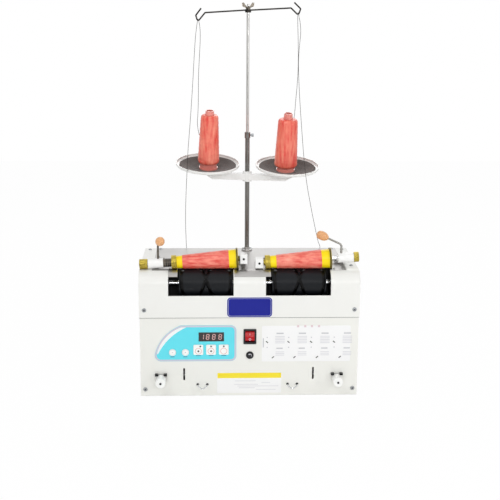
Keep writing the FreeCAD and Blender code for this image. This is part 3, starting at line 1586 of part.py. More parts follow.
def build_nodes():
    """Every node of the part by name."""
    nodes = {
        "chassis": make_chassis(),
        "upper_cover": make_upper_cover(),
        "top_plate": make_top_plate(),
        "front_panel": make_front_panel(),
        "rear_panel": make_rear_panel(),
        "mains_inlet": make_mains_inlet(),
        "drum_shroud": make_drum_shroud(),
        "left_drum": make_drum(left_drum_x),
        "right_drum": make_drum(right_drum_x),
        "drum_shaft": make_drum_shaft(),
        "shaft_supports": Part.makeCompound([make_bearing_posts(), make_drum_bearings()]),
        "drive_belt": make_belt(),
        "motor": make_motor(),
        "motor_rotor": make_motor_rotor(),
        "pivot_brackets": make_pivot_brackets(),
        "control_overlay": make_control_overlay(),
        "control_board": make_control_board(),
        "switch_and_fuse_bodies": Part.makeCompound([make_rocker_bezel(), make_fuse_holder()]),
        "rocker_key": make_rocker_key(),
        "fuse_cap": make_fuse_cap(),
        "badge": make_badge(),
        "label_plates": make_label_plates(),
        "housing_screws": make_screws(),
        "left_tension_knob": make_tension_knob(tension_places[0]),
        "right_tension_knob": make_tension_knob(tension_places[1]),
        "yarn_guides": Part.makeCompound([make_yarn_guides(), make_rear_eyelets()]),
        "left_stop_lever": make_stop_lever(slot_places[0]),
        "right_stop_lever": make_stop_lever(slot_places[1]),
        "lower_tube": Part.makeCompound([make_lower_tube(), make_stand_base()]),
        "clamp_screw": make_clamp_screw(),
        "thread_guide_rod": Part.makeCompound([make_upper_rod(), make_guide_bar()]),
        "wing_nut": make_wing_nut(),
        "spool_arm": make_spool_arm(),
        "spool_plates": make_spool_plates(),
        "spool_pads": make_spool_pads(),
        "supply_tubes": make_supply_tubes(),
        "supply_yarns": make_supply_yarns(),
        "left_thread": make_thread(LEFT_THREAD, "left thread"),
        "right_thread": make_thread(RIGHT_THREAD, "right thread"),
    }
    for index, (x, z) in enumerate(round_button_places):
        nodes["round_button_%d" % (index + 1)] = round_button(x, z, 0)
    for index, (x, z) in enumerate(square_button_places):
        nodes["square_button_%d" % (index + 1)] = square_button(x, z, 0)
    heads = (
        ("left", left_small_x, left_hub, left_block, -1, left_lever_heading, left_yarn),
        ("right", right_small_x, right_hub, right_block, 1, right_lever_heading, right_yarn),
    )
    for name, small_x, hub, block, bore_side, heading, yarn in heads:
        lever, bend, tip = make_lever(small_x, hub, bore_side, heading)
        nodes[name + "_cradle"] = make_cradle(small_x, hub, block, bore_side, bore_side > 0)
        nodes[name + "_lever"] = lever
        nodes[name + "_lever_knob"] = make_lever_knob(bend, tip)
        nodes[name + "_small_adapter"] = make_small_adapter(small_x, bore_side > 0)
        nodes[name + "_large_adapter"] = make_large_adapter(small_x, bore_side < 0)
        nodes[name + "_cone_tube"] = make_cone_tube(small_x)
        nodes[name + "_cone_yarn"] = make_cone_yarn(small_x, yarn)
    left_cap = make_brass_knob(left_small_x, left_knob, 1)
    right_cap = make_brass_knob(right_small_x, right_knob, -1)
    nodes["left_quill"] = Part.makeCompound([make_quill_left(), left_cap])
    nodes["right_quill"] = Part.makeCompound([make_quill_right(), right_cap])
    return nodes


os.makedirs("parts", exist_ok=True)
for node, shape in build_nodes().items():
    shape.exportStep("parts/" + node + ".step")
    print(node, len(shape.Solids), round(shape.Volume), shape.isValid())
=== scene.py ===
"""Looks of a yarn cone winder with two winding heads and a thread stand.

Every length is written in millimetres and turned to metres where a mesh is made.
The frame is the CAD model's: X to the right, Y to the back, Z up.
"""

import logging
import math
from dataclasses import dataclass, field
from enum import Enum
from functools import partial
from typing import Callable, Optional, Sequence

import bpy
from mathutils import Matrix, Vector

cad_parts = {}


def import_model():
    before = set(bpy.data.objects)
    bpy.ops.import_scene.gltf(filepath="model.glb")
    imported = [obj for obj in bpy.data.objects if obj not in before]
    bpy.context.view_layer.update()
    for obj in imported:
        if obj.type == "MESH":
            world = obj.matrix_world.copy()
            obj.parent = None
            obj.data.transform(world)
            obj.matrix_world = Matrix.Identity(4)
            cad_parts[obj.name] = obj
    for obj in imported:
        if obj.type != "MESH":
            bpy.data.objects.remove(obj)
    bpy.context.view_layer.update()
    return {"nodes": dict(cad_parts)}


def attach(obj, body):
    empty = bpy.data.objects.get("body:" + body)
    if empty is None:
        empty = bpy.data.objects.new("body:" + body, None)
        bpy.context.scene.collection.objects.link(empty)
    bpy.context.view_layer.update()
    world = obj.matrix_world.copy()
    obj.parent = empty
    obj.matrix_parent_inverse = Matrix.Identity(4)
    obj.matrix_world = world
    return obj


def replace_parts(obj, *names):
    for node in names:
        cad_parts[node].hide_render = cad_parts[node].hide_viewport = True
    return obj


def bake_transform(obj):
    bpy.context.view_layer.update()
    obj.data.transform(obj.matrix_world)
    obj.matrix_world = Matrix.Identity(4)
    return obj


LOG = logging.getLogger("cone_winder")
MM = 0.001
TURN = 2 * math.pi
Point = tuple[float, float, float]
Flat = tuple[float, float]
AHEAD, BEHIND, UP = Vector((0, -1, 0)), Vector((0, 1, 0)), Vector((0, 0, 1))

# Sizes that the pieces share with the CAD model.
COVER_FRONT = -144.0
PANEL_FACE = -142.9
LABEL_FRONT = PANEL_FACE - 0.8
OVERLAY_FRONT = PANEL_FACE - 1.2
KEY_FRONT = PANEL_FACE - 2.4
BODY_TOP = 320.0
PLATE_TOP = 321.2
BACK = 144.0
POLE = (1.0, 112.0)
DRUM_Y, DRUM_Z, DRUM_RADIUS = -102.0, 284.9, 36.0
CONE_GAP = 0.3
TUBE_LENGTH = 148.5
TUBE_SMALL = 15.2
TUBE_LARGE = 23.8
YARN = 1.2
TAPER = math.atan((TUBE_LARGE - TUBE_SMALL) / TUBE_LENGTH)
HEAD_HEIGHT = DRUM_Z + DRUM_RADIUS + CONE_GAP + (TUBE_SMALL + YARN) * math.cos(TAPER)

# How far a print stands out of its sheet, and how thick it is drawn.
INK_PROUD = 0.08
INK_DEPTH = 0.1
# Broad clouds that every surface shows faintly: waves per metre, and their share.
CLOUDS = 14.0
CLOUD_SHARE = 0.35
# How strongly each surface's relief shows.
RELIEF = 0.8
# The colour of the lit surroundings.
WHITE = "#FFFFFF"


# ------------------------------------------------------------------ materials
def linear(code: str) -> tuple[float, float, float, float]:
    """Turn an sRGB hex colour into the linear colour that shaders take.

    Args:
        code: A colour such as "#F1F1EC".

    Returns:
        Red, green, blue and alpha between 0 and 1.
    """
    parts = [int(code[i:i + 2], 16) / 255 for i in (1, 3, 5)]
    done = [c / 12.92 if c <= 0.04045 else ((c + 0.055) / 1.055) ** 2.4 for c in parts]
    return done[0], done[1], done[2], 1.0


def add_node(
    tree: bpy.types.NodeTree,
    kind: str,
    settings: Optional[dict] = None,
    inputs: Optional[dict] = None,
) -> bpy.types.Node:
    """Add one node with its settings and its inputs.

    Args:
        tree: The tree that gets the node.
        kind: The node's type, such as "ShaderNodeTexNoise".
        settings: Attribute names and values.
        inputs: Input names or numbers, with a value or with the socket to link from.

    Returns:
        The new node.
    """
    node = tree.nodes.new(kind)
    for name, value in (settings or {}).items():
        setattr(node, name, value)
    for key, value in (inputs or {}).items():
        if isinstance(value, bpy.types.NodeSocket):
            tree.links.new(value, node.inputs[key])
        else:
            node.inputs[key].default_value = value
    return node


def fresh_tree(owner: bpy.types.Material | bpy.types.World) -> bpy.types.NodeTree:
    """Turn a material's or world's nodes on and empty its tree."""
    owner.use_nodes = True
    owner.node_tree.nodes.clear()
    return owner.node_tree


def add_object(name: str, data: bpy.types.ID) -> bpy.types.Object:
    """Put a mesh, lamp or camera in the scene as an object."""
    piece = bpy.data.objects.new(name, data)
    bpy.context.scene.collection.objects.link(piece)
    return piece


class Making(Enum):
    """How a surface was made: the texture that draws its marks, its output, settings, inputs."""

    NOISE = ("ShaderNodeTexNoise", "Fac", {}, {"Detail": 4.0})
    CELLS = ("ShaderNodeTexVoronoi", "Distance", {}, {})
    BANDS = ("ShaderNodeTexWave", "Fac", {"wave_type": "BANDS", "bands_direction": "Z"},
             {"Distortion": 5.0, "Detail": 2.0})


@dataclass(frozen=True)
class Finish:
    """One real material with the way its surface was made.

    The marks repeat every grain_mm along the axes, times the stretch of each axis. Where an
    axle is given, what lies within reach of it has the two colours of the core.
    """

    name: str
    slot: str
    colour: str
    second: str
    roughness: float
    metallic: float = 0.0
    ior: float = 1.5
    making: Making = Making.NOISE
    grain_mm: float = 1.0
    stretch: Point = (1.0, 1.0, 1.0)
    relief_mm: float = 0.02
    fade: float = 0.3
    rough_spread: float = 0.06
    coat: float = 0.0
    sheen: float = 0.0
    glow: float = 0.0
    axle: Optional[Point] = None
    across: Point = (0.0, 1.0, 1.0)
    reach: Flat = (0.0, 1.0)
    # By default the core is near-black: painted shade for the floor of the drums' grooves.
    core: tuple[str, str] = ("#010102", "#020203")

    def build(self) -> bpy.types.Material:
        """Make the material, or give the one that is already made."""
        done = bpy.data.materials.get(self.name)
        if done is not None:
            return done
        material = bpy.data.materials.new(self.name)
        material.diffuse_color = linear(self.colour)
        tree = fresh_tree(material)
        place = add_node(tree, "ShaderNodeTexCoord").outputs["Object"]
        marks = self.marks(tree, place)
        broad = add_node(tree, "ShaderNodeTexNoise",
                         inputs={"Vector": place, "Scale": CLOUDS, "Detail": 3.0})
        blend = add_node(tree, "ShaderNodeMix", {"data_type": "FLOAT"},
                         {0: CLOUD_SHARE, 2: marks, 3: broad.outputs["Fac"]}).outputs[0]
        ramp = add_node(tree, "ShaderNodeValToRGB", inputs={"Fac": blend})
        first, last = ramp.color_ramp.elements
        first.position, last.position = 0.5 - self.fade, 0.5 + self.fade
        first.color, last.color = linear(self.colour), linear(self.second)
        tone = ramp.outputs["Color"]
        if self.axle is not None:
            tone = self.core_colour_and_groove_shade(tree, tone, place)
        rough = add_node(tree, "ShaderNodeMapRange", inputs={
            "Value": blend,
            "To Min": max(0.02, self.roughness - self.rough_spread),
            "To Max": min(1.0, self.roughness + self.rough_spread)})
        bump = add_node(tree, "ShaderNodeBump", inputs={
            "Height": marks, "Distance": self.relief_mm * MM, "Strength": RELIEF})
        shader = add_node(tree, "ShaderNodeBsdfPrincipled", inputs={
            "Base Color": tone, "Roughness": rough.outputs["Result"],
            "Normal": bump.outputs["Normal"], "Metallic": self.metallic,
            "Coat Weight": self.coat, "Sheen Weight": self.sheen})
        if not self.metallic:
            shader.inputs["IOR"].default_value = self.ior
        # A glowing finish gets a painted glow in its own colour.
        if self.glow:
            shader.inputs["Emission Color"].default_value = linear(self.colour)
            shader.inputs["Emission Strength"].default_value = self.glow
        add_node(tree, "ShaderNodeOutputMaterial", inputs={"Surface": shader.outputs["BSDF"]})
        return material

    def core_colour_and_groove_shade(self, tree: bpy.types.NodeTree, skin: bpy.types.NodeSocket,
              place: bpy.types.NodeSocket) -> bpy.types.NodeSocket:
        """Give what lies near an axis its own colour, such as the painted shade in a drum's
        groove.

        Args:
            tree: The material's node tree.
            skin: The socket that gives the colour away from the axis.
            place: The socket that gives the place on the piece.

        Returns:
            The socket that gives the colour, from the core's to the skin's.
        """
        flat = add_node(tree, "ShaderNodeVectorMath", {"operation": "MULTIPLY"},
                        {0: place, 1: self.across})
        away = add_node(tree, "ShaderNodeVectorMath", {"operation": "DISTANCE"},
                        {0: flat.outputs["Vector"], 1: tuple(v * MM for v in self.axle)})
        share = add_node(tree, "ShaderNodeMapRange", inputs={
            "Value": away.outputs["Value"], "From Min": self.reach[0] * MM,
            "From Max": self.reach[1] * MM})
        inner = add_node(tree, "ShaderNodeMix", {"data_type": "RGBA"},
                         {0: 0.5, 6: linear(self.core[0]), 7: linear(self.core[1])})
        tone = add_node(tree, "ShaderNodeMix", {"data_type": "RGBA"},
                        {0: share.outputs["Result"], 6: inner.outputs[2], 7: skin})
        return tone.outputs[2]

    def marks(self, tree: bpy.types.NodeTree,
              place: bpy.types.NodeSocket) -> bpy.types.NodeSocket:
        """Add the texture that draws the surface's marks.

        Args:
            tree: The material's node tree.
            place: The socket that gives the place on the piece.

        Returns:
            The socket that gives the marks' strength.
        """
        unit = 1.0 / (self.grain_mm * MM)
        spot = add_node(tree, "ShaderNodeMapping", inputs={
            "Vector": place, "Scale": tuple(unit * part for part in self.stretch)})
        kind, output, settings, inputs = self.making.value
        node = add_node(tree, kind, settings,
                        {"Vector": spot.outputs["Vector"], "Scale": 1.0, **inputs})
        return node.outputs[output]


# Powder-coated sheet: a fine orange peel of about 1 mm, half gloss, slightly warm white.
POWDER_COAT = Finish("powder_coated_sheet", "cover_paint", "#E9E9E5", "#F1F1ED", 0.34,
                     grain_mm=1.1, relief_mm=0.012, coat=0.15)
POWDER_COAT_LOWER = Finish("powder_coated_panel", "panel_paint", "#E9E9E3", "#F0F0EB", 0.38,
                           grain_mm=1.1, relief_mm=0.012, coat=0.1)
# Gloss enamel on castings: a smooth wet skin with long, soft waves.
ENAMEL = Finish("gloss_enamel_casting", "white_paint", "#F3F3F1", "#FBFBFA", 0.2,
                grain_mm=6.0, relief_mm=0.03, coat=0.5)
# Brushed stainless sheet: hairlines along X, drawn 0.5 mm wide so that they show.
BRUSHED_STEEL = Finish("brushed_stainless_sheet", "top_steel", "#A19F9D", "#C6C4C2", 0.36, 1.0,
                       grain_mm=0.5, stretch=(0.015, 1.0, 1.0), relief_mm=0.006,
                       rough_spread=0.1)
# Zinc-plated pressed steel: faint cloudy crystals about 3 mm wide.
ZINC = Finish("zinc_plated_steel", "zinc_steel", "#9DA0A3", "#B7BABD", 0.36, 1.0,
              making=Making.CELLS, grain_mm=3.0, relief_mm=0.01)
# Chrome plate on turned bar: nearly a mirror, with polishing lines round the bar.
CHROME = Finish("chrome_plated_bar", "polished_steel", "#CFD1D4", "#E4E6E8", 0.14, 1.0,
                grain_mm=0.8, stretch=(1.0, 1.0, 4.0), relief_mm=0.003)
# Ground steel bar, oiled: darker than chrome, with fine lines round the bar.
GROUND_ROD = Finish("ground_steel_bar", "polished_steel", "#A19E99", "#C9C6C1", 0.26, 1.0,
                    grain_mm=0.8, stretch=(1.0, 1.0, 4.0), relief_mm=0.004)
# Upper rod, bright ground steel, with a cross wire of dark drawn steel.
ROD_AND_WIRE = Finish("ground_rod_dark_wire", "polished_steel", "#2B2927", "#4A4744", 0.32, 1.0,
                      grain_mm=4.0, stretch=(1.0, 1.0, 0.2), relief_mm=0.001,
                      axle=(*POLE, 0.0), across=(1.0, 1.0, 0.0), reach=(6.5, 7.0),
                      core=("#CFCECB", "#E2E1DE"))
# Blued steel, worn bright along its rings and edges.
BLUED = Finish("blued_steel_sleeve", "polished_steel", "#3B3632", "#8C857A", 0.3, 1.0,
               grain_mm=3.0, stretch=(0.6, 1.0, 1.0), relief_mm=0.01, rough_spread=0.12)
# Drawn steel tube with a dark mill skin: long streaks up the tube.
MILL_STEEL = Finish("drawn_steel_tube", "dark_steel", "#6B6966", "#A09E9A", 0.3, 1.0,
                    grain_mm=1.2, stretch=(1.0, 1.0, 0.04), relief_mm=0.01)
# Phenolic moulding, polished by yarn: deep black with turning lines round the drum.
# Inside its grooves the drum turns near-black: painted shade.
PHENOLIC = Finish("polished_phenolic_drum", "drum_black", "#0C0E11", "#171A1F", 0.42, ior=1.31,
                  grain_mm=0.7, stretch=(1.0, 0.03, 0.03), relief_mm=0.012,
                  axle=(0.0, DRUM_Y, DRUM_Z), reach=(34.6, 35.85))
# ABS with a spark-eroded grain: dull black.
ABS_BLACK_AND_SHADE = Finish("moulded_abs_black_and_shade", "black_plastic", "#101012", "#1C1C1F", 0.5,
                   grain_mm=0.6, relief_mm=0.015)
# Acetal turned white: waxy and smooth.
ACETAL = Finish("turned_acetal_white", "button_white", "#F4F4F1", "#FBFBF9", 0.3, ior=1.48,
                grain_mm=0.8, relief_mm=0.006, coat=0.2)
# Printed polyester film: flat colour under a fine matt texture. Screen ink is flatter still.
FILM = partial(Finish, grain_mm=0.5, relief_mm=0.004)
INK = partial(Finish, grain_mm=0.4, relief_mm=0.003)
FILM_CYAN = FILM("printed_film_cyan", "overlay_cyan", "#58DCEC", "#63E3F1", 0.3, coat=0.3)
FILM_SILVER = FILM("printed_film_silver", "overlay_cyan", "#BFC4D6", "#CBCFDE", 0.32, coat=0.3)
FILM_ROSE = FILM("printed_film_rose", "overlay_cyan", "#DDB9C6", "#E3C3CE", 0.34)
FILM_WHITE = FILM("printed_film_white", "label_white", "#F1F1F1", "#F6F6F6", 0.3, coat=0.2)
FILM_YELLOW = FILM("printed_film_yellow", "label_white", "#F3DD1C", "#F8E42E", 0.34)
INK_BLACK = INK("screen_ink_black", "black_plastic", "#17171A", "#222226", 0.45)
# The grey ink also draws the painted highlight on the fuse cap.
GREY_INK_AND_HIGHLIGHT = INK("screen_ink_grey", "label_white", "#BDBDC2", "#C8C8CC", 0.5)
INK_PALE = INK("screen_ink_pale", "label_white", "#D6D6DA", "#DEDEE1", 0.5)
INK_RED = INK("screen_ink_red", "switch_red", "#D8706E", "#E08482", 0.45)
INK_PINK = INK("screen_ink_pink", "label_white", "#DCC6CB", "#E2CED2", 0.5)
INK_NAVY = INK("screen_ink_navy", "badge_blue", "#1C5F8C", "#256B98", 0.45)
# Enamel of the badge: deep blue with a soft gloss.
ENAMEL_BLUE = Finish("enamelled_badge_blue", "badge_blue", "#0F1787", "#172296", 0.34,
                     ior=1.35, grain_mm=0.7, relief_mm=0.004)
# Smoked acrylic window: near-black gloss.
SMOKED = Finish("smoked_acrylic_window", "black_plastic", "#1A1314", "#241A1B", 0.1,
                grain_mm=2.0, relief_mm=0.002, coat=0.5)
# Unlit light-emitting segments under the window: dull pink, with a faint painted glow.
SEGMENT = Finish("display_segment", "label_white", "#D7A6A2", "#E0B4B0", 0.4,
                 grain_mm=0.6, relief_mm=0.002, glow=0.12)
# Polycarbonate rocker, deep red and glossy.
ROCKER = Finish("moulded_polycarbonate_red", "switch_red", "#B01018", "#CB1A22", 0.16,
                ior=1.58, grain_mm=0.9, relief_mm=0.006, coat=0.5)
# Wound polyester thread: silky coral, with paler streaks some 20 mm long painted as highlights
# where strands shine.
THREAD_WOUND = Finish("wound_polyester_coral", "yarn_coral", "#E03129", "#FFA28C", 0.36,
                      ior=1.55, grain_mm=5.0, stretch=(0.22, 0.8, 0.8), relief_mm=0.03,
                      fade=0.17, rough_spread=0.08)
# The supply yarn's paler streaks run up the cone: painted highlights.
THREAD_SUPPLY = Finish("wound_polyester_supply", "yarn_coral", "#E2342A", "#FF9C82", 0.36,
                       ior=1.55, grain_mm=8.0, stretch=(1.0, 1.0, 0.12), relief_mm=0.03,
                       fade=0.17, rough_spread=0.08)
# Injected polypropylene tube, sunny yellow.
POLYPROPYLENE = Finish("moulded_polypropylene_yellow", "tube_yellow", "#FFDC00", "#FFE70C",
                       0.34, ior=1.4, grain_mm=0.9, relief_mm=0.008)
# Translucent styrene cone, coral, which picks up white light at its foot.
STYRENE = Finish("moulded_styrene_coral", "tube_paper", "#DC7468", "#F0A79B", 0.24,
                 ior=1.59, grain_mm=24.0, relief_mm=0.004, coat=0.3)
# Varnished beech: grain lines about 1.6 mm apart along the knob.
BEECH = Finish("varnished_beech", "knob_wood", "#D8935A", "#F0BC88", 0.34,
               making=Making.BANDS, grain_mm=5.0, stretch=(0.35, 0.35, 1.0), relief_mm=0.02,
               coat=0.3)
# Yellow-passivated turned metal: olive gold with darker stains.
PASSIVATED = Finish("passivated_turned_metal", "cup_brass", "#9C8833", "#CFBA58", 0.34, 1.0,
                    grain_mm=4.0, relief_mm=0.015, rough_spread=0.12)
# The large discs are the same passivated metal, painted darker as shade.
PASSIVATED_SHADED = Finish("passivated_disc_olive", "rim_olive", "#4B4528", "#766C3E", 0.4, 0.75,
                         grain_mm=3.0, relief_mm=0.012)
# Pressed plates in white stove enamel.
STOVE_ENAMEL = Finish("stove_enamelled_plate", "plate_grey", "#E9E9E6", "#F4F4F2", 0.26,
                      grain_mm=3.0, relief_mm=0.01, coat=0.3)
# Open-cell foam sheet, brown grey: cells of 1.5 mm, drawn that coarse so that they show.
FOAM = Finish("open_cell_foam", "pad_foam", "#3B3431", "#5C524D", 0.92,
              making=Making.CELLS, grain_mm=1.5, relief_mm=0.35, sheen=0.2)
# Spun polyester thread, grey: two strands, twisted every 2 mm.
THREAD_LOOSE = Finish("spun_polyester_grey", "thread_grey", "#322E2C", "#504A47", 0.8,
                      ior=1.3, grain_mm=2.0, relief_mm=0.1)
# Glazed porcelain: warm white under a thick wet glaze.
PORCELAIN = Finish("glazed_porcelain", "white_paint", "#F3F1EA", "#FAF9F5", 0.1,
                   grain_mm=5.0, relief_mm=0.01, coat=0.6)
# Moulded neoprene: dull black that hardly shines; the seam strip uses it as painted shadow.
NEOPRENE_AND_SEAM_SHADOW = Finish("neoprene_belt_and_seam_shadow", "belt_rubber", "#191919", "#262626", 0.8,
                grain_mm=0.8, relief_mm=0.04)
# Glass laminate under solder mask: deep green gloss.
LAMINATE = Finish("solder_masked_laminate", "board_green", "#27613A", "#347A49", 0.3,
                  grain_mm=1.5, relief_mm=0.02, coat=0.4)
# Steel with black oxide and oil: black with a soft metal shine.
# Its black also draws painted shade: in the screw recesses, the wire seats and the sleeve's
# grooves.
BLACK_OXIDE_AND_SHADE = Finish("black_oxide_steel_and_shade", "black_plastic", "#141416", "#26272A", 0.35, 0.6,
                     grain_mm=0.8, relief_mm=0.01)
# Lacquered steel case: dark grey, half gloss.
MOTOR_LACQUER = Finish("lacquered_motor_case", "dark_steel", "#3A3B3E", "#4A4B4F", 0.4, 0.3,
                       grain_mm=1.2, relief_mm=0.02)

NODE_FINISH: dict[str, Finish] = {
    name: look
    for look, names in (
        (POWDER_COAT, "upper_cover"),
        (POWDER_COAT_LOWER, "chassis front_panel rear_panel"),
        (BRUSHED_STEEL, "top_plate pivot_brackets"),
        # The drum shroud is black too; its black also stands in for the shade behind and below
        # the drums.
        (ABS_BLACK_AND_SHADE, "mains_inlet drum_shroud switch_and_fuse_bodies fuse_cap"),
        (PHENOLIC, "left_drum right_drum"),
        (CHROME, "drum_shaft right_quill"),
        (ZINC, "shaft_supports motor_rotor left_stop_lever right_stop_lever clamp_screw"),
        (NEOPRENE_AND_SEAM_SHADOW, "drive_belt"),
        (MOTOR_LACQUER, "motor"),
        (FILM_CYAN, "control_overlay"),
        (LAMINATE, "control_board"),
        (ROCKER, "rocker_key"),
        (ENAMEL_BLUE, "badge"),
        (FILM_WHITE, "label_plates"),
        (ACETAL, "left_tension_knob right_tension_knob round_button_1 round_button_2"),
        (ACETAL, "square_button_1 square_button_2 square_button_3"),
        (BLACK_OXIDE_AND_SHADE, "yarn_guides"),
        (MILL_STEEL, "lower_tube"),
        (ROD_AND_WIRE, "thread_guide_rod"),
        (BLUED, "wing_nut left_lever left_quill"),
        (GROUND_ROD, "right_lever"),
        (ENAMEL, "spool_arm left_cradle right_cradle"),
        (STOVE_ENAMEL, "spool_plates"),
        (STYRENE, "supply_tubes"),
        (PASSIVATED, "left_small_adapter right_small_adapter"),
        (PASSIVATED_SHADED, "left_large_adapter right_large_adapter"),
        (POLYPROPYLENE, "left_cone_tube right_cone_tube"),
    )
    for name in names.split()
}


# --------------------------------------------------------------------- meshes
def on_ring(centre: Vector, across: tuple[Vector, Vector], angle: float,
            radius: float) -> Vector:
    """A place on the circle round a centre that lies along two directions."""
    return centre + (across[0] * math.cos(angle) + across[1] * math.sin(angle)) * radius


def walls(rings: Sequence[Sequence[int]]) -> list[tuple[int, ...]]:
    """The faces between rings of corner numbers; a ring may be one corner, repeated."""
    faces: list[tuple[int, ...]] = []
    for near, far in zip(rings, rings[1:]):
        for i in range(len(near)):
            j = (i + 1) % len(near)
            end = (far[0],) if far[0] == far[1] else (far[j], far[i])
            faces.append((near[i], near[j]) + end)
    return faces


@dataclass
class MeshDraft:
    """Corners and faces that become one mesh object, in millimetres.

    Each method that adds a form returns the draft, so that forms can be added in a row.
    """

    corners: list[Vector] = field(default_factory=list)
    faces: list[tuple[int, ...]] = field(default_factory=list)

    def add(self, corners: Sequence[Vector], faces: Sequence[tuple[int, ...]]) -> "MeshDraft":
        """Add a group of corners and the faces between them."""
        first = len(self.corners)
        self.corners.extend(corners)
        self.faces.extend(tuple(first + i for i in face) for face in faces)
        return self

    def slab(self, outline: Sequence[Flat], front: float, thickness: float) -> "MeshDraft":
        """Add an upright plate from its outline as seen from the front.

        Args:
            outline: (x, z) corners in order.
            front: The Y of its front face.
            thickness: How far it reaches to the back.

        Returns:
            This draft.
        """
        count = len(outline)
        corners = [Vector((x, y, z)) for y in (front, front + thickness) for x, z in outline]
        faces = [tuple(range(count)), tuple(reversed(range(count, 2 * count)))]
        for i in range(count):
            j = (i + 1) % count
            faces.append((j, i, count + i, count + j))
        return self.add(corners, faces)

    def band(self, outer: Sequence[Flat], inner: Sequence[Flat], front: float,
             thickness: float, closed: bool = True) -> "MeshDraft":
        """Add an upright strip between two outlines with the same number of corners."""
        count = len(outer)
        corners = [Vector((x, y, z)) for y in (front, front + thickness)
                   for outline in (outer, inner) for x, z in outline]
        faces = []
        for i in range(count if closed else count - 1):
            j = (i + 1) % count
            faces.append((i, j, count + j, count + i))
            faces.append((2 * count + j, 2 * count + i, 3 * count + i, 3 * count + j))
            faces.append((j, i, 2 * count + i, 2 * count + j))
            faces.append((count + i, count + j, 3 * count + j, 3 * count + i))
        if not closed:
            last = count - 1
            faces.append((0, count, 3 * count, 2 * count))
            faces.append((last, 2 * count + last, 3 * count + last, count + last))
        return self.add(corners, faces)

    def lathe(
        self,
        profile: Sequence[Flat],
        start: Vector,
        axis: Vector,
        segments: int = 48,
        lift: Optional[Callable[[float, float], float]] = None,
        bored: bool = False,
    ) -> "MeshDraft":
        """Add a turned form.

        Args:
            profile: (distance along the axis, radius) points; the last radius is 0 unless
                the form is bored.
            start: Where the axis starts.
            axis: Its direction.
            segments: How many sides the form has.
            lift: What to add to the radius, from the turn (0 to 1) and the distance along.
            bored: Whether a hole goes right through, with its wall from the last point to
                the first; otherwise the form has a flat start and a closed end.

        Returns:
            This draft.
        """
        axis = axis.normalized()
        side = axis.orthogonal().normalized()
        across = (side, axis.cross(side))
        corners: list[Vector] = []
        rings: list[list[int]] = []
        for along, radius in profile:
            centre = start + axis * along
            if radius <= 0.0:
                rings.append([len(corners)] * segments)
                corners.append(centre)
                continue
            rings.append([len(corners) + i for i in range(segments)])
            for i in range(segments):
                turn = i / segments
                size = radius + (lift(turn, along) if lift else 0.0)
                corners.append(on_ring(centre, across, TURN * turn, size))
        if bored:
            return self.add(corners, walls(rings + rings[:1]))
        return self.add(corners, walls(rings) + [tuple(reversed(rings[0]))])

    def tube(self, points: Sequence[Vector], radius: float, sides: int = 16) -> "MeshDraft":
        """Add a round wire through points, with flat ends."""
        rings: list[list[int]] = []
        corners: list[Vector] = []
        side = None
        for i, point in enumerate(points):
            ahead = points[min(i + 1, len(points) - 1)] - points[max(i - 1, 0)]
            ahead.normalize()
            if side is None:
                side = ahead.orthogonal().normalized()
            else:
                side = (side - ahead * side.dot(ahead)).normalized()
            across = (side, ahead.cross(side))
            rings.append([len(corners) + k for k in range(sides)])
            corners += [on_ring(point, across, TURN * k / sides, radius) for k in range(sides)]
        ends = [tuple(reversed(rings[0])), tuple(rings[-1])]
        return self.add(corners, ends + walls(rings))

    def finish(self, name: str, look: Finish, body: Optional[str],
               soften: float = 35.0) -> bpy.types.Object:
        """Make the object, with its material and body.

        Args:
            name: The object's name.
            look: Its finish.
            body: The CAD body that it rides on, or None for one that bends between two.
            soften: Edges sharper than this many degrees stay sharp.

        Returns:
            The new object.
        """
        mesh = bpy.data.meshes.new(name)
        mesh.from_pydata([tuple(c * MM) for c in self.corners], [], self.faces)
        mesh.polygons.foreach_set("use_smooth", [True] * len(mesh.polygons))
        mesh.set_sharp_from_angle(angle=math.radians(soften))
        mesh.update()
        piece = add_object(name, mesh)
        mesh.materials.append(look.build())
        if body is not None:
            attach(piece, body)
        LOG.info("%s rides on %s: %d faces", name, body or "two bodies", len(mesh.polygons))
        return piece


# -------------------------------------------------------------------- outlines
def arc_through(a: Flat, b: Flat, c: Flat, steps: int) -> list[Flat]:
    """Points on the circle from a through b to c.

    Args:
        a: The first point.
        b: A point on the way.
        c: The last point.
        steps: How many steps to take.

    Returns:
        steps + 1 points, both ends included.
    """
    d = 2 * (a[0] * (b[1] - c[1]) + b[0] * (c[1] - a[1]) + c[0] * (a[1] - b[1]))
    squares = [p[0] ** 2 + p[1] ** 2 for p in (a, b, c)]
    x = (squares[0] * (b[1] - c[1]) + squares[1] * (c[1] - a[1]) + squares[2] * (a[1] - b[1])) / d
    z = (squares[0] * (c[0] - b[0]) + squares[1] * (a[0] - c[0]) + squares[2] * (b[0] - a[0])) / d
    radius = math.hypot(a[0] - x, a[1] - z)
    first, middle, last = [math.atan2(p[1] - z, p[0] - x) for p in (a, b, c)]
    sweep = (last - first) % (2 * math.pi)
    if (middle - first) % (2 * math.pi) > sweep:
        sweep -= 2 * math.pi
    return [
        (x + radius * math.cos(first + sweep * i / steps),
         z + radius * math.sin(first + sweep * i / steps))
        for i in range(steps + 1)
    ]


def inset(outline: Sequence[Flat], amount: float) -> list[Flat]:
    """Move every corner of a closed clockwise outline inwards."""
    moved = []
    count = len(outline)
    for i in range(count):
        before, after = outline[i - 1], outline[(i + 1) % count]
        run = Vector((after[0] - before[0], after[1] - before[1])).normalized()
        moved.append((outline[i][0] + run.y * amount, outline[i][1] - run.x * amount))
    return moved


def circle(x: float, z: float, radius: float, steps: int = 40) -> list[Flat]:
    """A clockwise circle of points."""
    return [
        (x + radius * math.cos(-2 * math.pi * i / steps),
         z + radius * math.sin(-2 * math.pi * i / steps))
        for i in range(steps)
    ]


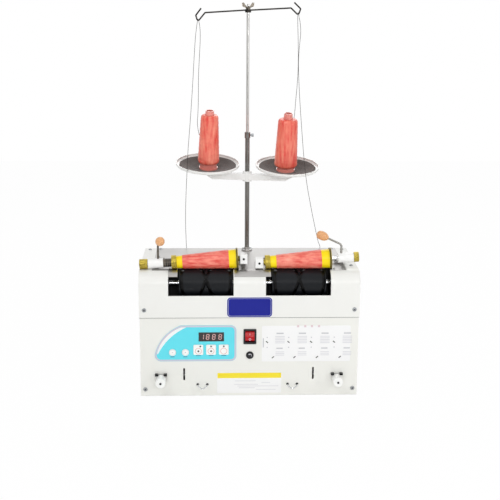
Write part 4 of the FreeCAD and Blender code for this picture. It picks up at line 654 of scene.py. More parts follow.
def rectangle(x: float, z: float, width: float, height: float, turn: float = 0.0) -> list[Flat]:
    """A rectangle about a centre, turned by some degrees."""
    cos, sin = math.cos(math.radians(turn)), math.sin(math.radians(turn))
    half = ((-0.5, -0.5), (-0.5, 0.5), (0.5, 0.5), (0.5, -0.5))
    return [
        (x + u * width * cos - v * height * sin, z + u * width * sin + v * height * cos)
        for u, v in half
    ]


def rounded_rectangle(x0: float, x1: float, z0: float, z1: float, corner: float) -> list[Flat]:
    """A clockwise rectangle with round corners."""
    points: list[Flat] = []
    centres = ((x1 - corner, z1 - corner, 90), (x1 - corner, z0 + corner, 0),
               (x0 + corner, z0 + corner, -90), (x0 + corner, z1 - corner, -180))
    for x, z, start in centres:
        for i in range(9):
            angle = math.radians(start - 90 * i / 8)
            points.append((x + corner * math.cos(angle), z + corner * math.sin(angle)))
    return points


# ---------------------------------------------------------------------- studio
@dataclass
class Studio:
    """The camera, the soft lights, the white surroundings and the floor."""

    eye: Point = (-92.0, -2581.0, 910.0)
    yaw: float = 2.16
    pitch: float = 12.32
    roll: float = 0.34
    lens: float = 73.2
    sensor: float = 36.0
    far: float = 100.0
    floor_size: float = 9000.0
    aim: Point = (0.0, 0.0, 350.0)
    daylight: float = 0.63
    darkest: float = 0.16
    paper_share: float = 0.97
    # Each soft box: name, place, width and height, power.
    boxes: tuple[tuple[str, Point, Flat, float], ...] = (
        ("key_light", (-1100.0, -1700.0, 2300.0), (1300.0, 1300.0), 13.0),
        ("strip_light", (120.0, -2600.0, 1180.0), (1000.0, 200.0), 10.0),
        ("fill_light", (1900.0, -1500.0, 1100.0), (420.0, 1300.0), 9.0),
        ("rim_light", (300.0, 1900.0, 1900.0), (1200.0, 1200.0), 9.0),
    )

    def set_up(self) -> None:
        """Make everything that the object stands in."""
        self.place_camera()
        self.place_lights()
        self.make_world()
        self.make_floor()

    def place_camera(self) -> None:
        """Make the camera and make it the scene's own."""
        yaw, pitch, roll = (math.radians(a) for a in (self.yaw, self.pitch, self.roll))
        ahead = Vector((math.sin(yaw) * math.cos(pitch), math.cos(yaw) * math.cos(pitch),
                        -math.sin(pitch)))
        right = Vector((math.cos(yaw), -math.sin(yaw), 0.0))
        up = right.cross(ahead)
        right_rolled = right * math.cos(roll) + up * math.sin(roll)
        up_rolled = up * math.cos(roll) - right * math.sin(roll)
        data = bpy.data.cameras.new("camera")
        data.lens = self.lens
        data.sensor_width = self.sensor
        data.clip_end = self.far
        camera = add_object("camera", data)
        turn = Matrix((right_rolled, up_rolled, -ahead)).transposed().to_4x4()
        camera.matrix_world = Matrix.Translation(Vector(self.eye) * MM) @ turn
        bpy.context.scene.camera = camera

    def place_lights(self) -> None:
        """Hang the soft boxes: a key from above, a strip in front, and two for the sides."""
        for name, place, (width, height), power in self.boxes:
            data = bpy.data.lights.new(name, "AREA")
            data.shape = "RECTANGLE"
            data.size = width * MM
            data.size_y = height * MM
            data.energy = power
            light = add_object(name, data)
            light.location = Vector(place) * MM
            aim = Vector(self.aim) * MM - light.location
            light.rotation_euler = aim.to_track_quat("-Z", "Y").to_euler()

    def make_world(self) -> None:
        """Light softly from all round, with a darker room in front and pure white behind."""
        world = bpy.data.worlds.new("studio")
        bpy.context.scene.world = world
        tree = fresh_tree(world)
        rays = add_node(tree, "ShaderNodeLightPath").outputs
        seen = add_node(tree, "ShaderNodeMath", {"operation": "MAXIMUM"},
                        {0: rays["Is Camera Ray"], 1: rays["Is Transmission Ray"]})
        place = add_node(tree, "ShaderNodeTexCoord")
        facing = add_node(tree, "ShaderNodeVectorMath", {"operation": "DOT_PRODUCT"},
                          {0: place.outputs["Generated"], 1: (0.0, 0.6, 0.8)})
        shade = add_node(tree, "ShaderNodeMapRange", inputs={
            "Value": facing.outputs["Value"], "From Min": -0.6, "From Max": 0.5,
            "To Min": self.darkest, "To Max": 1.0})
        soft, room, white = (
            add_node(tree, "ShaderNodeBackground",
                     inputs={"Color": linear(WHITE), "Strength": strength}).outputs[0]
            for strength in (self.daylight, shade.outputs["Result"], 1.0))
        mirrored = add_node(tree, "ShaderNodeMixShader",
                            inputs={0: rays["Is Glossy Ray"], 1: soft, 2: room})
        mix = add_node(tree, "ShaderNodeMixShader",
                       inputs={0: seen.outputs[0], 1: mirrored.outputs[0], 2: white})
        add_node(tree, "ShaderNodeOutputWorld", inputs={"Surface": mix.outputs[0]})

    def make_floor(self) -> None:
        """Lay a white floor that keeps a light shadow."""
        half = self.floor_size / 2 * MM
        mesh = bpy.data.meshes.new("floor")
        corners = [(-half, -half, 0.0), (half, -half, 0.0), (half, half, 0.0), (-half, half, 0.0)]
        mesh.from_pydata(corners, [], [(0, 1, 2, 3)])
        floor = add_object("floor", mesh)
        material = bpy.data.materials.new("studio_floor")
        tree = fresh_tree(material)
        rays = add_node(tree, "ShaderNodeLightPath")
        share = add_node(tree, "ShaderNodeMath", {"operation": "MULTIPLY"},
                         {0: rays.outputs["Is Camera Ray"], 1: self.paper_share})
        paper = add_node(tree, "ShaderNodeBsdfDiffuse", inputs={"Color": linear("#FAFAFA")})
        glow = add_node(tree, "ShaderNodeEmission",
                        inputs={"Color": linear(WHITE), "Strength": 1.0})
        mix = add_node(tree, "ShaderNodeMixShader",
                       inputs={0: share.outputs[0], 1: paper.outputs[0], 2: glow.outputs[0]})
        add_node(tree, "ShaderNodeOutputMaterial", inputs={"Surface": mix.outputs[0]})
        mesh.materials.append(material)


# --------------------------------------------------------------------- threads
@dataclass
class Thread:
    """A loose thread from a supply cone over its hook to the back of the machine.

    Above the two heights of the slack it follows the upper rod more and more.
    """

    name: str
    node: str
    route: tuple[Point, ...]
    length: float
    slack: Flat
    diameter: float = 1.2
    order: int = 3
    points_per_step: int = 8

    def centreline(self) -> list[Vector]:
        """The thread's smooth line through its route, as points in metres."""
        curve = bpy.data.curves.new(self.name + "_line", "CURVE")
        curve.dimensions = "3D"
        spline = curve.splines.new("NURBS")
        spline.points.add(len(self.route) - 1)
        for spot, place in zip(spline.points, self.route):
            spot.co = (place[0] * MM, place[1] * MM, place[2] * MM, 1.0)
        spline.order_u = self.order
        spline.use_endpoint_u = True
        curve.resolution_u = self.points_per_step
        guide = bpy.data.objects.new(self.name + "_line", curve)
        mesh = bpy.data.meshes.new_from_object(guide)
        line = [vertex.co.copy() for vertex in mesh.vertices]
        bpy.data.objects.remove(guide)
        bpy.data.curves.remove(curve)
        bpy.data.meshes.remove(mesh)
        return line

    def make(self) -> bpy.types.Object:
        line = self.centreline()
        draft = MeshDraft()
        draft.tube([point / MM for point in line], self.diameter / 2, 12)
        piece = draft.finish(self.name, THREAD_LOOSE, None, 60.0)
        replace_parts(piece, self.node)
        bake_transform(piece)
        return piece


LEFT_ROUTE: tuple[Point, ...] = (
    (-126.2, 87.3, 635.5), (-131.7, 82.3, 659.3), (-129.1, 83.7, 691.3), (-127.8, 89.1, 734.8),
    (-127.8, 96.0, 785.1), (-125.0, 105.0, 836.0), (-122.6, 110.5, 877.0),
    (-122.6, 113.5, 903.0), (-124.8, 115.2, 921.0), (-127.8, 115.2, 931.7),
    (-128.3, 108.6, 931.7), (-130.6, 108.0, 921.0), (-132.6, 105.5, 907.0),
    (-134.8, 101.0, 888.0), (-137.0, 94.0, 857.0), (-139.0, 87.0, 826.0), (-141.3, 78.5, 783.0),
    (-144.4, 69.0, 735.0), (-148.0, 58.5, 684.0), (-152.2, 50.0, 632.0), (-155.6, 42.5, 590.0),
    (-157.4, 40.2, 550.0), (-159.8, 49.5, 507.0), (-162.0, 65.0, 467.0), (-163.3, 81.0, 430.0),
    (-164.0, 99.0, 393.0), (-163.8, 121.0, 357.0), (-163.4, 137.0, 333.0),
    (-163.2, 149.0, 323.0), (-163.1, 158.5, 311.0), (-163.0, 157.5, 300.0),
    (-163.0, 147.0, 300.0),
)
RIGHT_ROUTE: tuple[Point, ...] = (
    (121.3, 83.0, 679.9), (123.0, 81.4, 690.3), (125.2, 85.4, 721.8), (128.5, 91.4, 755.2),
    (131.5, 98.4, 794.6), (132.3, 104.5, 840.0), (131.3, 109.0, 885.0), (130.3, 113.0, 915.0),
    (129.8, 115.2, 936.0), (130.0, 115.2, 949.0), (130.5, 108.7, 949.0), (133.0, 108.3, 938.0),
    (136.3, 106.5, 922.0), (137.8, 102.5, 898.0), (134.0, 95.5, 868.0), (131.0, 87.0, 828.0),
    (131.8, 78.5, 785.0), (134.0, 68.5, 738.0), (137.0, 58.5, 690.0), (140.4, 48.5, 642.0),
    (143.2, 39.0, 602.0), (146.2, 33.0, 568.0), (150.5, 34.0, 535.0), (157.0, 48.0, 500.0),
    (164.5, 64.0, 468.0), (173.0, 82.0, 431.0), (182.0, 99.0, 395.0), (190.0, 116.0, 363.0),
    (197.0, 131.0, 338.0), (203.0, 143.0, 326.5), (204.0, 152.0, 319.0), (204.2, 158.5, 309.5),
    (204.0, 157.5, 300.0), (204.0, 147.0, 300.0),
)


# ------------------------------------------------------------------ wound yarn
class Winding(Enum):
    """How the strands lie, as their starts round the cone: in diamonds, or side by side."""

    CROSSED = 5
    CLOSE = 1


@dataclass
class WoundYarn:
    """Yarn wound on a cone, as a turned form with real strands on its skin."""

    name: str
    start: Vector
    axis: Vector
    length: float
    radii: Flat
    core_radii: Flat
    shoulder: float
    winding: Winding = Winding.CROSSED
    look: Finish = THREAD_WOUND
    strand: float = 5.2
    height: float = 0.15
    row_step: float = 0.55
    bulge: float = 0.12
    bulge_step: float = 17.0
    smooth_edge: float = 2.0
    segments: int = 168

    def profile(self) -> list[Flat]:
        """The outline from the first end over the skin to the last end."""
        first, last = self.radii
        core, core_end = self.core_radii
        points = [(0.0, core)]
        rows = int(self.length / self.row_step)
        for i in range(rows + 1):
            along = self.length * i / rows
            radius = first + (last - first) * i / rows
            edge = min(along, self.length - along)
            if edge < self.shoulder:
                fall = 1 - math.sqrt(max(0.0, 1 - (1 - edge / self.shoulder) ** 2))
                radius -= fall * self.shoulder * 0.8
            points.append((along, max(radius, core * 0.5)))
        points.append((self.length, core_end))
        return points

    def lift(self, turn: float, along: float) -> float:
        """How far the strands stand out at one place of the skin."""
        edge = min(along, self.length - along)
        if edge < 0.01:
            return 0.0
        starts = self.winding.value
        strands = [(0.5 + 0.5 * math.cos(TURN * (along / self.strand + way * turn))) ** 3
                   for way in (starts, -starts)]
        bulge = self.bulge * math.sin(TURN * (along / self.bulge_step + 2 * turn))
        return (self.height * max(strands) + bulge) * min(1.0, edge / self.smooth_edge)

    def make(self, body: str, *nodes: str) -> bpy.types.Object:
        """Make the yarn on its body in place of its CAD nodes."""
        draft = MeshDraft().lathe(self.profile(), self.start, self.axis, self.segments,
                                  self.lift, bored=True)
        piece = draft.finish(self.name, self.look, body, 60.0)
        if nodes:
            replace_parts(piece, *nodes)
        return piece


# --------------------------------------------------------------- winding heads
class Side(Enum):
    """Which winding head it is: the outward direction along X."""

    LEFT = -1
    RIGHT = 1


# (distance along, radius) of turned forms; the beech knob's distances are shares of its length.
BEECH_PROFILE = ((0.0, 2.7), (0.0, 4.3), (0.04, 5.6), (0.1, 7.3), (0.2, 9.3), (0.33, 10.7),
                 (0.47, 11.3), (0.6, 11.35), (0.72, 10.9), (0.82, 9.7), (0.9, 7.8),
                 (0.96, 5.2), (0.99, 2.8), (1.0, 0.0))
KNOB_SCREW_PROFILE = ((-0.4, 3.6), (0.5, 3.6), (1.0, 3.0), (1.05, 0.0))
SET_SCREW_PROFILE = ((-0.3, 2.9), (0.1, 2.9), (0.15, 2.5), (0.15, 0.0))
DISC_EDGE_PROFILE = ((3.9, 26.0), (3.9, 27.1), (4.3, 27.25), (4.8, 27.0), (4.85, 25.6))
CUP_BEAD_PROFILE = ((-12.6, 17.0), (-12.6, 17.9), (-12.2, 18.2), (-10.6, 18.2), (-10.2, 18.0),
                    (-10.2, 17.0))
SLEEVE_GROOVE_SHADE_PROFILE = ((-0.9, 10.4), (-0.9, 10.62), (-0.5, 10.75), (0.5, 10.75), (0.9, 10.62),
                       (0.9, 10.4))


@dataclass
class WindingHead:
    """The knobs, the sleeve's painted groove shade, set screw and yarn of one winding head.

    Places along the spindle are counted from the tube's small end, which is at small_x.
    """

    side: Side
    small_x: float
    hub_middle: float
    lever_shift: float
    lever_heading: Point
    knob_span: Flat
    yarn_span: Flat
    block_middle: float
    lever_bend: float = 382.0
    lever_reach: float = 35.0
    lever_rise: float = 16.0
    knob_radius: float = 12.45
    flutes: int = 18
    flute_depth: float = 0.3
    beech_length: float = 31.4
    block_half_depth: float = 12.0
    groove_shade_places: tuple[float, ...] = (-25.5, -20.8, -16.1)

    @property
    def label(self) -> str:
        """The side's name."""
        return self.side.name.lower()

    def axis(self) -> Vector:
        """The direction of the spindle, from the tube's small end to its large end."""
        return Vector((math.cos(TAPER), 0.0, math.sin(TAPER)))

    def on_axis(self, along: float) -> Vector:
        """A place on the spindle's axis, along from the tube's small end."""
        return Vector((self.small_x, DRUM_Y, HEAD_HEIGHT)) + self.axis() * along

    def make(self) -> None:
        """Make every piece of the head."""
        self.make_beech_knob()
        self.make_turned_knob()
        self.make_set_screw()
        self.make_yarn()
        self.make_disc_lips()
        if self.side is Side.LEFT:
            self.make_sleeve_groove_shade()

    def make_beech_knob(self) -> None:
        """The egg-shaped wooden knob at the end of the clamp lever."""
        hub_x = self.on_axis(self.hub_middle).x + self.lever_shift
        bend = Vector((hub_x, DRUM_Y, self.lever_bend))
        arm = Vector(self.lever_heading) * self.lever_reach + Vector((0, 0, self.lever_rise))
        heading = arm.normalized()
        shape = [(share * self.beech_length, radius) for share, radius in BEECH_PROFILE]
        draft = MeshDraft().lathe(shape, bend + arm - heading * 1.0, heading, 40)
        piece = draft.finish(self.label + "_beech_knob", BEECH, self.label + "_clamp_lever", 50.0)
        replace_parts(piece, self.label + "_lever_knob")

    def make_turned_knob(self) -> None:
        """The fluted knob on the outer end of the spindle, with a screw in its face."""
        low, high = self.knob_span
        r = self.knob_radius
        length = high - low + 0.3
        outward = self.axis() * self.side.value
        start = self.on_axis(high if self.side is Side.LEFT else low) - outward * 0.15
        shape = [(0.0, r - 3.0), (0.0, r - 0.4), (0.8, r), (length - 0.7, r),
                 (length + 0.1, r - 0.5), (length + 0.2, r - 3.0), (length + 0.3, 0.0)]

        def flute(turn: float, along: float) -> float:
            """How far the flutes stand out, between the knob's two smooth rims."""
            if not 0.5 < along < length - 0.5:
                return 0.0
            return self.flute_depth * math.cos(TURN * self.flutes * turn)

        name, body = self.label + "_fluted_knob", self.label + "_slide_shaft"
        MeshDraft().lathe(shape, start, outward, 108, flute).finish(name, PASSIVATED, body)
        MeshDraft().lathe(KNOB_SCREW_PROFILE, start + outward * (length + 0.3), outward,
                          28).finish(name + "_screw", BLACK_OXIDE_AND_SHADE, body)

    def make_set_screw(self) -> None:
        """The dark set screw in the front face of the inner bearing block."""
        middle = self.on_axis(self.block_middle)
        face = Vector((middle.x, DRUM_Y - self.block_half_depth, middle.z))
        MeshDraft().lathe(SET_SCREW_PROFILE, face, AHEAD, 24).finish(
            self.label + "_block_set_screw", BLACK_OXIDE_AND_SHADE, self.label + "_head")

    def make_yarn(self) -> None:
        """The yarn wound on the tube."""
        low, high = self.yarn_span
        inner = [TUBE_SMALL + along * math.tan(TAPER) for along in (low, high)]
        yarn = WoundYarn(
            name=self.label + "_wound_yarn",
            start=self.on_axis(low),
            axis=self.axis(),
            length=high - low,
            radii=(inner[0] + YARN - 0.25, inner[1] + YARN - 0.25),
            core_radii=(inner[0] + 0.05, inner[1] + 0.05),
            shoulder=1.0,
        )
        yarn.make(self.label + "_cone", self.label + "_cone_yarn")

    def make_disc_lips(self) -> None:
        """A turned bright edge on the large disc and a bead on the small cup."""
        edge = [(TUBE_LENGTH + along, radius) for along, radius in DISC_EDGE_PROFILE]
        bodies = ("left_cone", "left_end_cup")
        if self.side is Side.RIGHT:
            bodies = ("right_end_rim", "right_cone")
        for shape, segments, ending, body in ((edge, 72, "_disc_edge", bodies[0]),
                                              (CUP_BEAD_PROFILE, 64, "_cup_bead", bodies[1])):
            MeshDraft().lathe(shape, self.on_axis(0.0), self.axis(), segments,
                              bored=True).finish(self.label + ending, PASSIVATED, body)

    def make_sleeve_groove_shade(self) -> None:
        """Dark rings round the sliding sleeve of the left head: painted shade standing for its
        grooves.
        """
        for number, place in enumerate(self.groove_shade_places, 1):
            MeshDraft().lathe(SLEEVE_GROOVE_SHADE_PROFILE, self.on_axis(place), self.axis(), 56,
                              bored=True).finish("left_sleeve_band_%d" % number, BLACK_OXIDE_AND_SHADE,
                                                 "left_slide_shaft")


# --------------------------------------------------------------- control panel
@dataclass
class ControlPanel:
    """The printed border, the display and the marks on the keys."""

    left: float = -238.0
    right: float = -33.0
    low: float = 92.0
    high: float = 185.0
    corner: float = 14.0
    border: float = 4.2
    rose_line: float = 0.9
    print_thickness: float = 0.12
    display: tuple[float, float, float, float] = (-127.0, -64.0, 144.0, 167.0)
    digits: tuple[tuple[float, int], ...] = ((-118.2, 1), (-104.6, 8), (-89.2, 8), (-73.4, 8))
    digit_width: float = 8.4
    digit_height: float = 14.6
    digit_slant: float = 0.09
    crescent: tuple[tuple[Flat, Flat, Flat], ...] = (
        ((-231.4, 112.5), (-211.3, 151.9), (-170.6, 180.6)),
        ((-229.5, 110.0), (-203.5, 147.8), (-158.0, 180.4)))
    round_keys: tuple[Flat, ...] = ((-192.7, 115.3), (-160.4, 115.3))
    square_keys: tuple[tuple[float, float, float], ...] = (
        (-128.0, 122.0, 5.0), (-96.2, 122.0, 0.0), (-64.4, 122.0, 0.0))

    def outline(self) -> list[Flat]:
        """The overlay's clockwise outline."""
        r = self.corner
        d = r * (1 - math.cos(math.pi / 4))
        left, right, low, high = self.left, self.right, self.low, self.high
        sweep_low, sweep_high = (left + 1.5, low + 20), (left + 66, high)
        points = arc_through((right - r, high), (right - d, high - d), (right, high - r), 10)
        points += arc_through((right, low + r), (right - d, low + d), (right - r, low), 10)
        points += arc_through((left + 17, low), (left + 4.5, low + 6), sweep_low, 10)
        points += arc_through(sweep_low, (left + 23.5, low + 62.5), sweep_high, 30)[1:]
        return points

    def make(self) -> None:
        """Make every printed and lit piece."""
        self.make_border()
        self.make_display()
        self.make_key_prints()

    def make_border(self) -> None:
        """The silver border, its rose inner line and the white crescent beside it."""
        front = OVERLAY_FRONT - self.print_thickness
        edges = [inset(self.outline(), amount)
                 for amount in (0.2, self.border - self.rose_line, self.border)]
        MeshDraft().band(edges[0], edges[1], front, 0.2).finish(
            "overlay_silver_border", FILM_SILVER, "frame")
        MeshDraft().band(edges[1], edges[2], front, 0.2).finish(
            "overlay_rose_line", FILM_ROSE, "frame")
        outer, inner = (arc_through(*spots, 28) for spots in self.crescent)
        MeshDraft().band(outer, inner, front + 0.04, 0.16, closed=False).finish(
            "overlay_white_crescent", FILM_WHITE, "frame")

    def make_display(self) -> None:
        """The smoked window with its four numerals."""
        x0, x1, z0, z1 = self.display
        front = OVERLAY_FRONT - 0.45
        pane = rounded_rectangle(x0 - 0.2, x1 + 0.2, z0 - 0.2, z1 + 0.2, 0.8)
        MeshDraft().slab(pane, front, 0.5).finish("display_window", SMOKED, "frame")
        lit = MeshDraft()
        for x, digit in self.digits:
            for outline in self.segments(x, (z0 + z1) / 2, digit):
                lit.slab(outline, front - INK_PROUD, INK_DEPTH)
        lit.finish("display_numerals", SEGMENT, "frame")

    def segments(self, x: float, z: float, digit: int) -> list[list[Flat]]:
        """The bars of one seven-bar numeral.

        Args:
            x: The numeral's middle.
            z: The numeral's middle.
            digit: Which numeral, 1 or 8.

        Returns:
            One outline for each bar.
        """
        w, h, t = self.digit_width / 2 - 0.9, self.digit_height / 2 - 0.9, 0.85
        long, tall = w - 0.35, h / 2 - 0.35
        flat = [(-long, 0), (-long + t, t), (long - t, t), (long, 0), (long - t, -t),
                (-long + t, -t)]
        upright = [(0, -tall), (-t, -tall + t), (-t, tall - t), (0, tall), (t, tall - t),
                   (t, -tall + t)]
        bars = [] if digit == 1 else [(0.0, v, flat) for v in (h, 0.0, -h)]
        for u in (w,) if digit == 1 else (w, -w):
            bars += [(u, h / 2, upright), (u, -h / 2, upright)]
        return [[(x + u + a + (v + b) * self.digit_slant, z + v + b) for a, b in bar]
                for u, v, bar in bars]

    def make_key_prints(self) -> None:
        """Rings, dots and dashes on and under the keys."""
        dashes = MeshDraft()
        front, over = KEY_FRONT - INK_PROUD, KEY_FRONT - INK_PROUD - 0.01
        for number, (x, z) in enumerate(self.round_keys, 1):
            marks = MeshDraft().band(circle(x, z, 7.6), circle(x, z, 7.1), front, INK_DEPTH)
            marks.slab(rectangle(x, z, 3.8, 1.3), front, INK_DEPTH)
            if number == 2:
                marks.slab(rectangle(x, z, 1.1, 3.4), over, INK_DEPTH)
            marks.finish("round_key_mark_%d" % number, GREY_INK_AND_HIGHLIGHT, "round_key_%d" % number)
            dashes.slab(rectangle(x, z - 11.6, 10.0, 1.5), OVERLAY_FRONT - 0.1, 0.12)
        for number, (x, z, shift) in enumerate(self.square_keys, 1):
            body = "square_key_%d" % number
            MeshDraft().band(circle(x, z - 3.4, 8.2), circle(x, z - 3.4, 7.3), front,
                             INK_DEPTH).finish("square_key_ring_%d" % number, INK_RED, body)
            dots = MeshDraft().lathe([(0.0, 2.1), (0.5, 2.0), (0.9, 1.4), (1.0, 0.0)],
                                     Vector((x + shift, KEY_FRONT, z + 8.9)), AHEAD, 20)
            if number < 3:
                dots.slab(circle(x, z - 3.6, 2.3, 20), over, INK_DEPTH)
            dots.finish("square_key_lamp_%d" % number, INK_BLACK, body)
            dashes.slab(rectangle(x, z - 15.6, 12.0, 1.4), OVERLAY_FRONT - 0.1, 0.12)
        dashes.finish("key_underlines", INK_NAVY, "frame")


# ------------------------------------------------------- switch, fuse, labels
@dataclass
class SwitchAndFuse:
    """The marks on the rocker, and a painted highlight on the fuse cap."""

    rocker: Flat = (1.0, 155.5)
    rocker_proud: float = 4.6
    rocker_dip: float = 2.2
    rocker_half_height: float = 14.0
    bezel_half: Flat = (15.9, 19.4)
    fuse: Flat = (1.0, 107.0)
    highlight_steps: int = 16

    def make(self) -> None:
        """Make the marks, the black frame bead and fuse ring, and the painted highlight."""
        x, z = self.rocker
        dip = PANEL_FACE - self.rocker_dip
        face = dip - 6.6 * (self.rocker_proud - self.rocker_dip) / self.rocker_half_height
        marks = MeshDraft().slab(rectangle(x, z + 6.2, 1.2, 5.2), dip - 0.42, 0.5)
        marks.band(circle(x, z - 6.6, 2.9, 28), circle(x, z - 6.6, 1.9, 28), face - 0.55, 0.9)
        marks.finish("rocker_on_off_marks", FILM_ROSE, "rocker")
        wide, tall = self.bezel_half
        outer = rounded_rectangle(x - wide, x + wide, z - tall, z + tall, 1.6)
        MeshDraft().band(outer, inset(outer, 1.1), PANEL_FACE - 1.95, 0.3).finish(
            "rocker_frame_bead", ABS_BLACK_AND_SHADE, "frame")
        x, z = self.fuse
        ring = [(0.0, 7.0), (0.0, 9.65), (1.6, 9.65), (2.3, 8.9), (2.3, 7.0)]
        MeshDraft().lathe(ring, Vector((x, PANEL_FACE, z)), AHEAD, 48, bored=True).finish(
            "fuse_ring", ABS_BLACK_AND_SHADE, "frame")
        # A pale crescent on the fuse cap: a painted highlight.
        angles = [math.radians(150 - 190 * i / self.highlight_steps)
                  for i in range(self.highlight_steps + 1)]
        outer = [(x + 4.7 * math.cos(a), z + 4.7 * math.sin(a)) for a in angles]
        inner = [(x + 1.2 + 2.6 * math.cos(a), z - 0.5 + 2.6 * math.sin(a)) for a in angles]
        MeshDraft().band(outer, inner, PANEL_FACE - 4.1, 0.2, closed=False).finish(
            "fuse_cap_highlight", GREY_INK_AND_HIGHLIGHT, "fuse_cap_body")


@dataclass
class Labels:
    """The badge's line and the prints of the setting chart and the notice plate."""

    badge: tuple[float, float, float, float] = (-56.0, 56.0, 206.5, 257.0)
    chart_columns: tuple[float, ...] = (76.5, 132.5, 189.5, 246.0)
    chart_upper: float = 146.5
    chart_lower: float = 110.0
    row_step: float = 4.2
    tick_columns: tuple[float, ...] = (43.9, 97.9, 154.8, 212.4)
    tick_heights: Flat = (141.0, 101.0)
    dash_heights: Flat = (153.0, 127.0)
    top_marks: tuple[float, ...] = (121.5, 139.3, 156.1, 173.9)
    top_height: float = 182.0
    notice_band: tuple[float, float, float, float] = (-80.4, 80.4, 46.5, 60.4)
    notice_top: float = 39.0
    notice_step: float = 4.6
    # Middle and width of each ruled line.
    notice_lines: tuple[Flat, ...] = ((-10.0, 52.0), (42.0, 22.0), (-8.0, 60.0),
                                      (22.0, 104.0), (-6.0, 40.0), (42.0, 50.0))

    def badge_edge(self, outwards: float, corner: float) -> list[Flat]:
        """The badge's outline, moved outwards."""
        x0, x1, z0, z1 = self.badge
        return rounded_rectangle(x0 - outwards, x1 + outwards, z0 - outwards, z1 + outwards,
                                 corner)

    def make(self) -> None:
        """Make every print."""
        line, edge = self.badge_edge(-2.6, 7.0), self.badge_edge(1.6, 10.4)
        MeshDraft().band(line, inset(line, 0.7), COVER_FRONT - 0.8 - INK_PROUD,
                         INK_DEPTH).finish("badge_line", FILM_SILVER, "frame")
        MeshDraft().band(edge, inset(edge, 1.75), COVER_FRONT - 0.5, 0.5).finish(
            "badge_surround", FILM_WHITE, "frame")
        self.make_chart()
        self.make_notice()

    def put(self, name: str, look: Finish, outlines: Sequence[Sequence[Flat]]) -> None:
        """Print flat marks on the label plates."""
        draft = MeshDraft()
        for outline in outlines:
            draft.slab(outline, LABEL_FRONT - INK_PROUD, INK_DEPTH)
        draft.finish(name, look, "frame")

    def make_chart(self) -> None:
        """The rows of the setting chart: pale boxes, tick strokes and top marks."""
        pale, grey, black = [], [], []
        for x in self.chart_columns:
            grey.append(rectangle(x, self.chart_upper + 17.0, 18.0, 3.2))
            grey.append(rectangle(x - 1.0, self.chart_lower + 14.5, 16.0, 3.0))
            for row in range(5):
                pale.append(rectangle(x, self.chart_upper + 9 - row * self.row_step, 24.0, 2.2))
            for row in range(3):
                pale.append(rectangle(x, self.chart_lower + 5 - row * self.row_step, 22.0, 2.0))
        for x in self.tick_columns:
            black.append(rectangle(x, self.tick_heights[0], 6.8, 2.5, -40.0))
            black.append(rectangle(x + 15.5, self.tick_heights[1], 6.8, 2.5, 40.0))
            grey += [rectangle(x + 0.5, z, 3.0, 2.4) for z in self.dash_heights]
        grey.append(rectangle(34.8, 139.0, 2.4, 24.0))
        self.put("chart_boxes", INK_PALE, pale)
        self.put("chart_captions", GREY_INK_AND_HIGHLIGHT, grey)
        self.put("chart_ticks", INK_BLACK, black)
        self.put("chart_top_marks", INK_PINK,
                 [rectangle(x, self.top_height, 5.4, 5.4) for x in self.top_marks])

    def make_notice(self) -> None:
        """The yellow band and the empty ruled lines of the notice plate."""
        self.put("notice_band", FILM_YELLOW, [rounded_rectangle(*self.notice_band, 2.0)])
        self.put("notice_lines", INK_PALE,
                 [rectangle(x, self.notice_top - self.notice_step * number, width, 1.6)
                  for number, (x, width) in enumerate(self.notice_lines)])


# -------------------------------------------------------------- yarn fittings
SEAT_SHADE_PROFILE = ((0.0, 3.2), (1.0, 3.2), (2.2, 2.4), (2.4, 1.4), (2.4, 0.0))
EYELET_PROFILE = ((0.2, 1.35), (0.2, 5.3), (1.2, 5.4), (3.0, 4.9), (5.2, 5.0), (7.0, 5.3),
                  (8.0, 4.6), (8.3, 3.2), (7.6, 1.7), (6.6, 1.15))
TENSION_SCREW_PROFILE = ((-0.2, 2.75), (0.9, 2.75), (1.15, 2.2), (1.2, 0.0))


